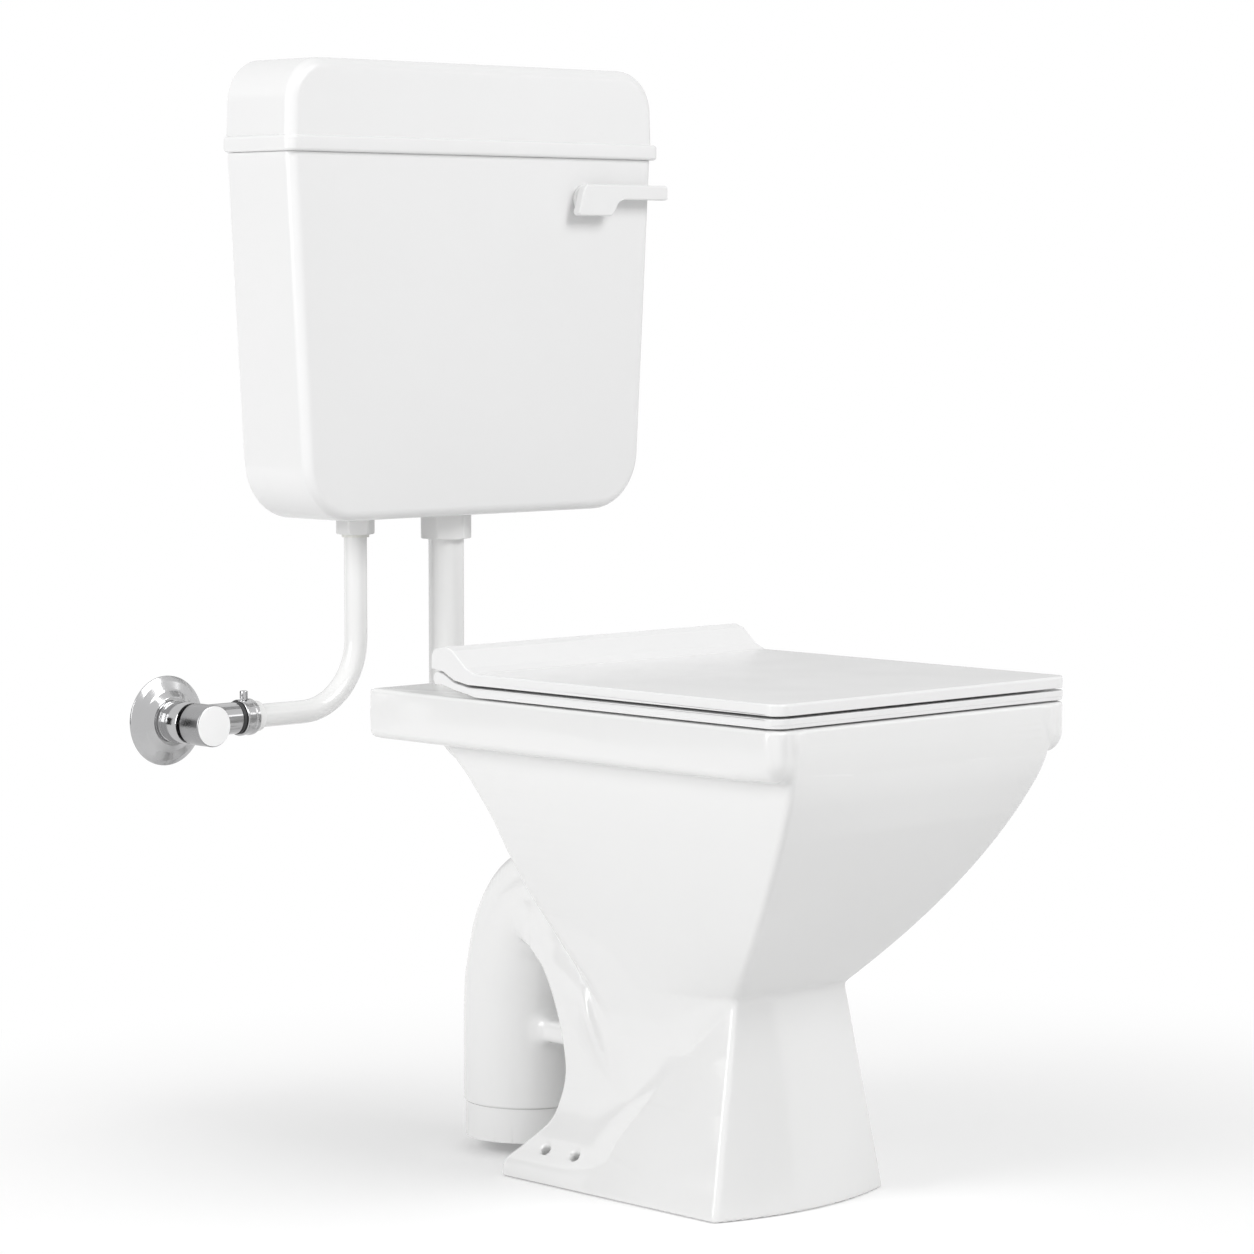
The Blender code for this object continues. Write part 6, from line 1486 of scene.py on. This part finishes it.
FINISHES = (
    ("vitreous_china", "vitreous_china_glaze", "china", 0.0, (0.992, 1.0, 6.0), (0.14, 0.20, 9.0),
     {"Coat_Weight": 0.3, "Coat_Roughness": 0.05},
     (("relief", 0.0005, 0.25, {"Wave": 14.0, "Grain": 210.0, "Grain_Share": 0.02}),
      ("specks", 0.00008, 0.5, {"Scale": 95.0}))),
    ("white_gloss_plastic", "white_gloss_moulding", "plastic", 0.0, (0.985, 1.0, 4.0), (0.19, 0.27, 9.0),
     {"Specular_IOR_Level": 0.4},
     (("relief", 0.0001, 0.1, {"Wave": 6.0, "Grain": 500.0, "Grain_Share": 0.01}),)),
    ("white_fitting", "white_fitting_moulding", "fitting", 0.0, (0.98, 1.0, 12.0), (0.12, 0.18, 25.0), {},
     (("relief", 0.0001, 0.15, {"Wave": 25.0, "Grain": 900.0, "Grain_Share": 0.1}),)),
    # Near-white finish of the knob's end disc, a painted reflection of a lamp on the chrome end.
    ("knob_cap", "polished_knob_cap", "cap", 0.0, (0.99, 1.0, 30.0), (0.10, 0.16, 40.0), {}, ()),
    ("valve_plastic", "valve_moulding", "works", 0.0, (0.95, 1.0, 25.0), (0.34, 0.46, 60.0), {},
     (("relief", 0.0002, 0.5, {"Wave": 80.0, "Grain": 1200.0, "Grain_Share": 0.3}),)),
    ("chrome", "chrome_plate", "chrome", 1.0, (0.96, 1.0, 45.0), (0.10, 0.16, 40.0), {},
     (("turning", 0.000002, 0.1, {"Scale": 50.0}),)),
    ("satin_chrome", "satin_chrome_plate", "satin", 1.0, (0.95, 1.0, 60.0), (0.24, 0.34, 90.0), {},
     (("turning", 0.00001, 0.3, {"Scale": 70.0}),)),
    ("steel", "stainless_steel", "steel", 1.0, (0.90, 1.0, 70.0), (0.20, 0.32, 120.0), {},
     (("turning", 0.00005, 0.5, {"Scale": 60.0}),)),
    ("brass", "drawn_brass", "brass", 1.0, (0.82, 1.0, 45.0), (0.26, 0.44, 80.0), {},
     (("relief", 0.0001, 0.5, {"Wave": 120.0, "Grain": 1500.0, "Grain_Share": 0.4}),)),
    ("dark_rubber", "dark_sealing_rubber", "dark_rubber", 0.0, (0.80, 1.0, 60.0), (0.55, 0.70, 90.0), {},
     (("relief", 0.0002, 0.7, {"Wave": 200.0, "Grain": 1800.0, "Grain_Share": 0.5}),)),
    ("pale_rubber", "pale_pad_rubber", "pale_rubber", 0.0, (0.90, 1.0, 60.0), (0.45, 0.60, 90.0), {},
     (("relief", 0.0002, 0.6, {"Wave": 200.0, "Grain": 1500.0, "Grain_Share": 0.4}),)),
)


def make_finishes(colours):
    """One material per row of FINISHES: slot, name, colour, metal, tone, polish, sockets and reliefs."""
    groups = {"tone": tone_group(), "polish": polish_group(), "relief": relief_group(),
              "turning": turning_group(), "specks": glaze_group()}
    made = {}
    for slot, name, colour, metallic, tone, polish, sockets, reliefs in FINISHES:
        finish = Finish(groups, name, getattr(colours, colour), metallic)
        finish.tone(*tone).polish(*polish).sockets(**sockets)
        for kind, depth, strength, values in reliefs:
            finish.relief(kind, depth, strength, **values)
        made[slot] = finish.material
    return made


def finishes():
    """The finishes by slot name, made once."""
    if not SHARED:
        SHARED.update(make_finishes(bpy.context.scene.toilet_colours))
    return SHARED


SHARED = {}


def dress_nodes():
    """Gives every node of the frame the procedural finish of its own slot."""
    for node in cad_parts.values():
        for slot in node.material_slots:
            slot.material = finishes()[slot.material.name.split(".")[0]]


# Studio


def emitter(tree, strength):
    return add(tree, "ShaderNodeEmission", {"Color": (1, 1, 1, 1), "Strength": strength}).outputs[0]


def seen_directly(tree):
    """One for a ray from the camera, or one that a mirror or glass sends on."""
    path = add(tree, "ShaderNodeLightPath").outputs
    first = add(tree, "ShaderNodeMath", {0: path["Is Camera Ray"], 1: path["Is Glossy Ray"]},
                operation="MAXIMUM")
    second = add(tree, "ShaderNodeMath", {0: first.outputs[0], 1: path["Is Transmission Ray"]},
                 operation="MAXIMUM")
    return second.outputs[0]


def empty_tree(owner):
    """The cleared node tree of a material or world."""
    owner.use_nodes = True
    owner.node_tree.nodes.clear()
    return owner.node_tree


def make_world(level):
    world = bpy.data.worlds.new("Studio")
    bpy.context.scene.world = world
    tree = empty_tree(world)
    low, high = (add(tree, "ShaderNodeBackground", {"Color": (1, 1, 1, 1), "Strength": strength}).outputs[0]
                 for strength in (level, 1.0))
    mix = add(tree, "ShaderNodeMixShader", {"Fac": seen_directly(tree), 1: low, 2: high})
    add(tree, "ShaderNodeOutputWorld", {"Surface": mix.outputs[0]})


def floor_finish(colour, lift, near, far):
    """Matt floor that keeps the object's shadow and turns to plain white away from it."""
    material = bpy.data.materials.new("studio_floor")
    tree = empty_tree(material)
    seen = seen_directly(tree)
    share = add(tree, "ShaderNodeMath", {0: seen, 1: lift}, operation="MULTIPLY")
    spot = add(tree, "ShaderNodeTexCoord").outputs["Object"]
    length = add(tree, "ShaderNodeVectorMath", {0: spot}, operation="LENGTH")
    values = {"From Min": near, "From Max": far, "Value": length.outputs["Value"]}
    fade = add(tree, "ShaderNodeMapRange", values, interpolation_type="SMOOTHSTEP")
    both = add(tree, "ShaderNodeMath", {0: fade.outputs[0], 1: seen}, operation="MULTIPLY")
    matt = add(tree, "ShaderNodeBsdfDiffuse", {"Color": (*colour, 1)})
    lit = add(tree, "ShaderNodeAddShader", {0: matt.outputs[0], 1: emitter(tree, share.outputs[0])})
    mix = add(tree, "ShaderNodeMixShader", {"Fac": both.outputs[0], 1: lit.outputs[0], 2: emitter(tree, 1.0)})
    add(tree, "ShaderNodeOutputMaterial", {"Surface": mix.outputs[0]})
    return material


def card(name, centre, across_way, up_way, material):
    """A flat studio card."""
    centre, a, b = Vector(centre), Vector(across_way), Vector(up_way)
    mesh = bpy.data.meshes.new(name)
    mesh.from_pydata([centre - a - b, centre + a - b, centre + a + b, centre - a + b], [], [(0, 1, 2, 3)])
    mesh.materials.append(material)
    obj = bpy.data.objects.new(name, mesh)
    bpy.context.scene.collection.objects.link(obj)
    return obj


def card_finish(name, strength):
    """Even glow of a card that only mirrors see."""
    material = bpy.data.materials.new(name)
    tree = empty_tree(material)
    add(tree, "ShaderNodeOutputMaterial", {"Surface": emitter(tree, strength)})
    return material


def mirrored_card(name, centre, across_way, up_way, material):
    """A card that shows in reflections alone."""
    obj = card(name, centre, across_way, up_way, material)
    obj.visible_camera = obj.visible_diffuse = obj.visible_shadow = obj.visible_transmission = False
    return obj


def lamp(name, place_at, target, size, power):
    data = bpy.data.lights.new(name, "AREA")
    data.shape = "RECTANGLE"
    data.size, data.size_y = size
    data.energy = power
    obj = bpy.data.objects.new(name, data)
    obj.location = place_at
    obj.rotation_euler = (Vector(target) - Vector(place_at)).to_track_quat("-Z", "Y").to_euler()
    bpy.context.scene.collection.objects.link(obj)
    return obj


def make_stage(studio):
    scene = bpy.context.scene
    scene.view_settings.view_transform = "Standard"
    floor = floor_finish(studio.floor_colour, studio.floor_lift, *FLOOR_FADE)
    card("studio_floor", (0, 0, FLOOR_Z), (FLOOR_HALF, 0, 0), (0, FLOOR_HALF, 0), floor)
    make_world(studio.level)
    lamp("Key", *KEY_LAMP, studio.key)
    lamp("Front fill", *FILL_LAMP, studio.fill)
    glows = {name: card_finish("studio_card_" + name, glow) for name, glow in CARD_GLOWS.items()}
    for name, centre, half_width, half_height, glow in CARDS:
        mirrored_card("studio_card_" + name, centre, half_width, (0, 0, half_height), glows[glow])
    data = bpy.data.cameras.new("Photo camera")
    data.lens = CAMERA_LENS
    data.sensor_width = CAMERA_SENSOR
    camera = bpy.data.objects.new("Photo camera", data)
    camera.location = CAMERA_PLACE
    camera.rotation_euler = (math.pi / 2 - CAMERA_PITCH, 0, -CAMERA_HEADING)
    scene.collection.objects.link(camera)
    scene.camera = camera


# Add-on


def colour_property(name, description, value):
    return bpy.props.FloatVectorProperty(name=name, description=description, subtype="COLOR", size=3, min=0.0,
                                         max=1.0, default=value)


class ToiletColours(bpy.types.PropertyGroup):
    """Colours of the finishes."""
    china: colour_property("China", "Glazed body of the pan", (0.86, 0.86, 0.857))
    plastic: colour_property("Gloss plastic", "Seat, lid, cistern and lever", (0.87, 0.87, 0.87))
    fitting: colour_property("Fittings", "Pipes and coupling nuts", (0.87, 0.87, 0.865))
    # Colour of the knob's end disc, near white as a painted reflection of a lamp on the chrome end.
    cap: colour_property("Knob cap", "White end of the stop cock's knob", (0.97, 0.97, 0.97))
    works: colour_property("Works", "Siphon and valve inside the cistern", (0.80, 0.80, 0.76))
    chrome: colour_property("Chrome", "Flange, body and clamp of the stop cock", (0.50, 0.50, 0.505))
    satin: colour_property("Satin chrome", "Knob of the stop cock", (0.36, 0.36, 0.365))
    steel: colour_property("Steel", "Hinge posts and pins", (0.66, 0.66, 0.67))
    brass: colour_property("Brass", "Levers and pins of the flush works", (0.72, 0.52, 0.24))
    dark_rubber: colour_property("Dark rubber", "Seals, washers and cone", (0.045, 0.045, 0.047))
    pale_rubber: colour_property("Pale rubber", "Pads of the seat and lid", (0.70, 0.70, 0.69))


class ToiletSizes(bpy.types.PropertyGroup):
    """Roundness of the moulded edges."""
    seat_edge: bpy.props.FloatProperty(name="Seat edge", description="Radius of the seat's edges", min=0.0005,
                                       max=0.003, default=0.0016, unit="LENGTH", subtype="DISTANCE")
    lid_edge: bpy.props.FloatProperty(name="Lid edge", description="Radius of the lid's edges", min=0.0005,
                                      max=0.004, default=0.0022, unit="LENGTH", subtype="DISTANCE")


class ToiletStudio(bpy.types.PropertyGroup):
    """Light and floor of the studio."""
    level: bpy.props.FloatProperty(name="Level", description="Even light from all round", min=0.0, max=2.0,
                                   default=0.44)
    key: bpy.props.FloatProperty(name="Key", description="Power of the large lamp on the left", min=0.0,
                                 default=50.0, unit="POWER")
    fill: bpy.props.FloatProperty(name="Front fill", description="Power of the lamp in front", min=0.0,
                                  default=76.0, unit="POWER")
    floor_colour: colour_property("Floor", "Colour of the matt floor", (0.80, 0.80, 0.80))
    floor_lift: bpy.props.FloatProperty(name="Floor lift", min=0.0, max=1.0, default=0.23,
                                        description="How far the floor that is seen is lifted towards white")


class TOILET_OT_stage(bpy.types.Operator):
    """Makes the floor, lamps, world and camera"""
    bl_idname = "toilet.stage"
    bl_label = "Stage"

    def execute(self, context):
        make_stage(context.scene.toilet_studio)
        return {"FINISHED"}


class TOILET_OT_works(bpy.types.Operator):
    """Gives the carried-over nodes their finishes"""
    bl_idname = "toilet.works"
    bl_label = "Finishes of the works"

    def execute(self, context):
        dress_nodes()
        return {"FINISHED"}


class TOILET_OT_pan(bpy.types.Operator):
    """Makes the glazed pan"""
    bl_idname = "toilet.pan"
    bl_label = "Pan"

    def execute(self, context):
        make_pan(finishes()["vitreous_china"])
        return {"FINISHED"}


class TOILET_OT_seat(bpy.types.Operator):
    """Makes the seat"""
    bl_idname = "toilet.seat"
    bl_label = "Seat"

    def execute(self, context):
        make_seat(finishes()["white_gloss_plastic"], context.scene.toilet_sizes.seat_edge)
        return {"FINISHED"}


class TOILET_OT_lid(bpy.types.Operator):
    """Makes the lid"""
    bl_idname = "toilet.lid"
    bl_label = "Lid"

    def execute(self, context):
        make_lid(finishes()["white_gloss_plastic"], context.scene.toilet_sizes.lid_edge)
        return {"FINISHED"}


class TOILET_OT_hinges(bpy.types.Operator):
    """Makes the hinge posts"""
    bl_idname = "toilet.hinges"
    bl_label = "Hinge posts"

    def execute(self, context):
        make_hinges(finishes()["steel"])
        return {"FINISHED"}


class TOILET_OT_pads(bpy.types.Operator):
    """Makes the pads under the seat and lid"""
    bl_idname = "toilet.pads"
    bl_label = "Pads"

    def execute(self, context):
        make_bumpers(finishes()["pale_rubber"])
        return {"FINISHED"}


class TOILET_OT_tank(bpy.types.Operator):
    """Makes the cistern"""
    bl_idname = "toilet.tank"
    bl_label = "Cistern"

    def execute(self, context):
        make_tank(finishes()["white_gloss_plastic"])
        return {"FINISHED"}


class TOILET_OT_cover(bpy.types.Operator):
    """Makes the cistern's cover"""
    bl_idname = "toilet.cover"
    bl_label = "Cistern cover"

    def execute(self, context):
        make_cover(finishes()["white_gloss_plastic"])
        return {"FINISHED"}


class TOILET_OT_lever(bpy.types.Operator):
    """Makes the flush lever with its bush and nut"""
    bl_idname = "toilet.lever"
    bl_label = "Flush lever"

    def execute(self, context):
        make_lever(finishes()["white_gloss_plastic"])
        return {"FINISHED"}


class TOILET_OT_nuts(bpy.types.Operator):
    """Makes the coupling nuts under the cistern"""
    bl_idname = "toilet.nuts"
    bl_label = "Coupling nuts"

    def execute(self, context):
        make_nuts(finishes()["white_fitting"])
        return {"FINISHED"}


class TOILET_OT_pipes(bpy.types.Operator):
    """Makes the flush pipe, its cone and the inlet pipe"""
    bl_idname = "toilet.pipes"
    bl_label = "Pipes"

    def execute(self, context):
        make_pipes(finishes()["white_fitting"], finishes()["dark_rubber"])
        return {"FINISHED"}


class TOILET_OT_cock(bpy.types.Operator):
    """Makes the stop cock and its pipe joint"""
    bl_idname = "toilet.cock"
    bl_label = "Stop cock"

    def execute(self, context):
        made = finishes()
        make_cock(made["chrome"], made["satin_chrome"], made["dark_rubber"], made["white_fitting"])
        return {"FINISHED"}


STEPS = (TOILET_OT_stage, TOILET_OT_works, TOILET_OT_pan, TOILET_OT_seat, TOILET_OT_lid, TOILET_OT_hinges,
         TOILET_OT_pads, TOILET_OT_tank, TOILET_OT_cover, TOILET_OT_lever, TOILET_OT_nuts, TOILET_OT_pipes,
         TOILET_OT_cock)


class TOILET_PT_pieces(bpy.types.Panel):
    """Lists the pieces in the order in which they are made"""
    bl_idname = "TOILET_PT_pieces"
    bl_label = "Toilet suite"
    bl_space_type = "VIEW_3D"
    bl_region_type = "UI"
    bl_category = "Toilet"

    def draw(self, context):
        for step in STEPS:
            self.layout.operator(step.bl_idname)
        for group in (context.scene.toilet_sizes, context.scene.toilet_colours, context.scene.toilet_studio):
            for name in group.bl_rna.properties.keys():
                if name not in ("rna_type", "name"):
                    self.layout.prop(group, name)


GROUPS = (("toilet_sizes", ToiletSizes), ("toilet_colours", ToiletColours), ("toilet_studio", ToiletStudio))


def register():
    for name, group in GROUPS:
        bpy.utils.register_class(group)
        setattr(bpy.types.Scene, name, bpy.props.PointerProperty(type=group))
    for step in STEPS:
        bpy.utils.register_class(step)
    bpy.utils.register_class(TOILET_PT_pieces)


def unregister():
    bpy.utils.unregister_class(TOILET_PT_pieces)
    for step in reversed(STEPS):
        bpy.utils.unregister_class(step)
    for name, group in reversed(GROUPS):
        delattr(bpy.types.Scene, name)
        bpy.utils.unregister_class(group)


def main():
    register()
    for step in STEPS:
        family, name = step.bl_idname.split(".")
        getattr(getattr(bpy.ops, family), name)()


if __name__ == "__main__":
    main()
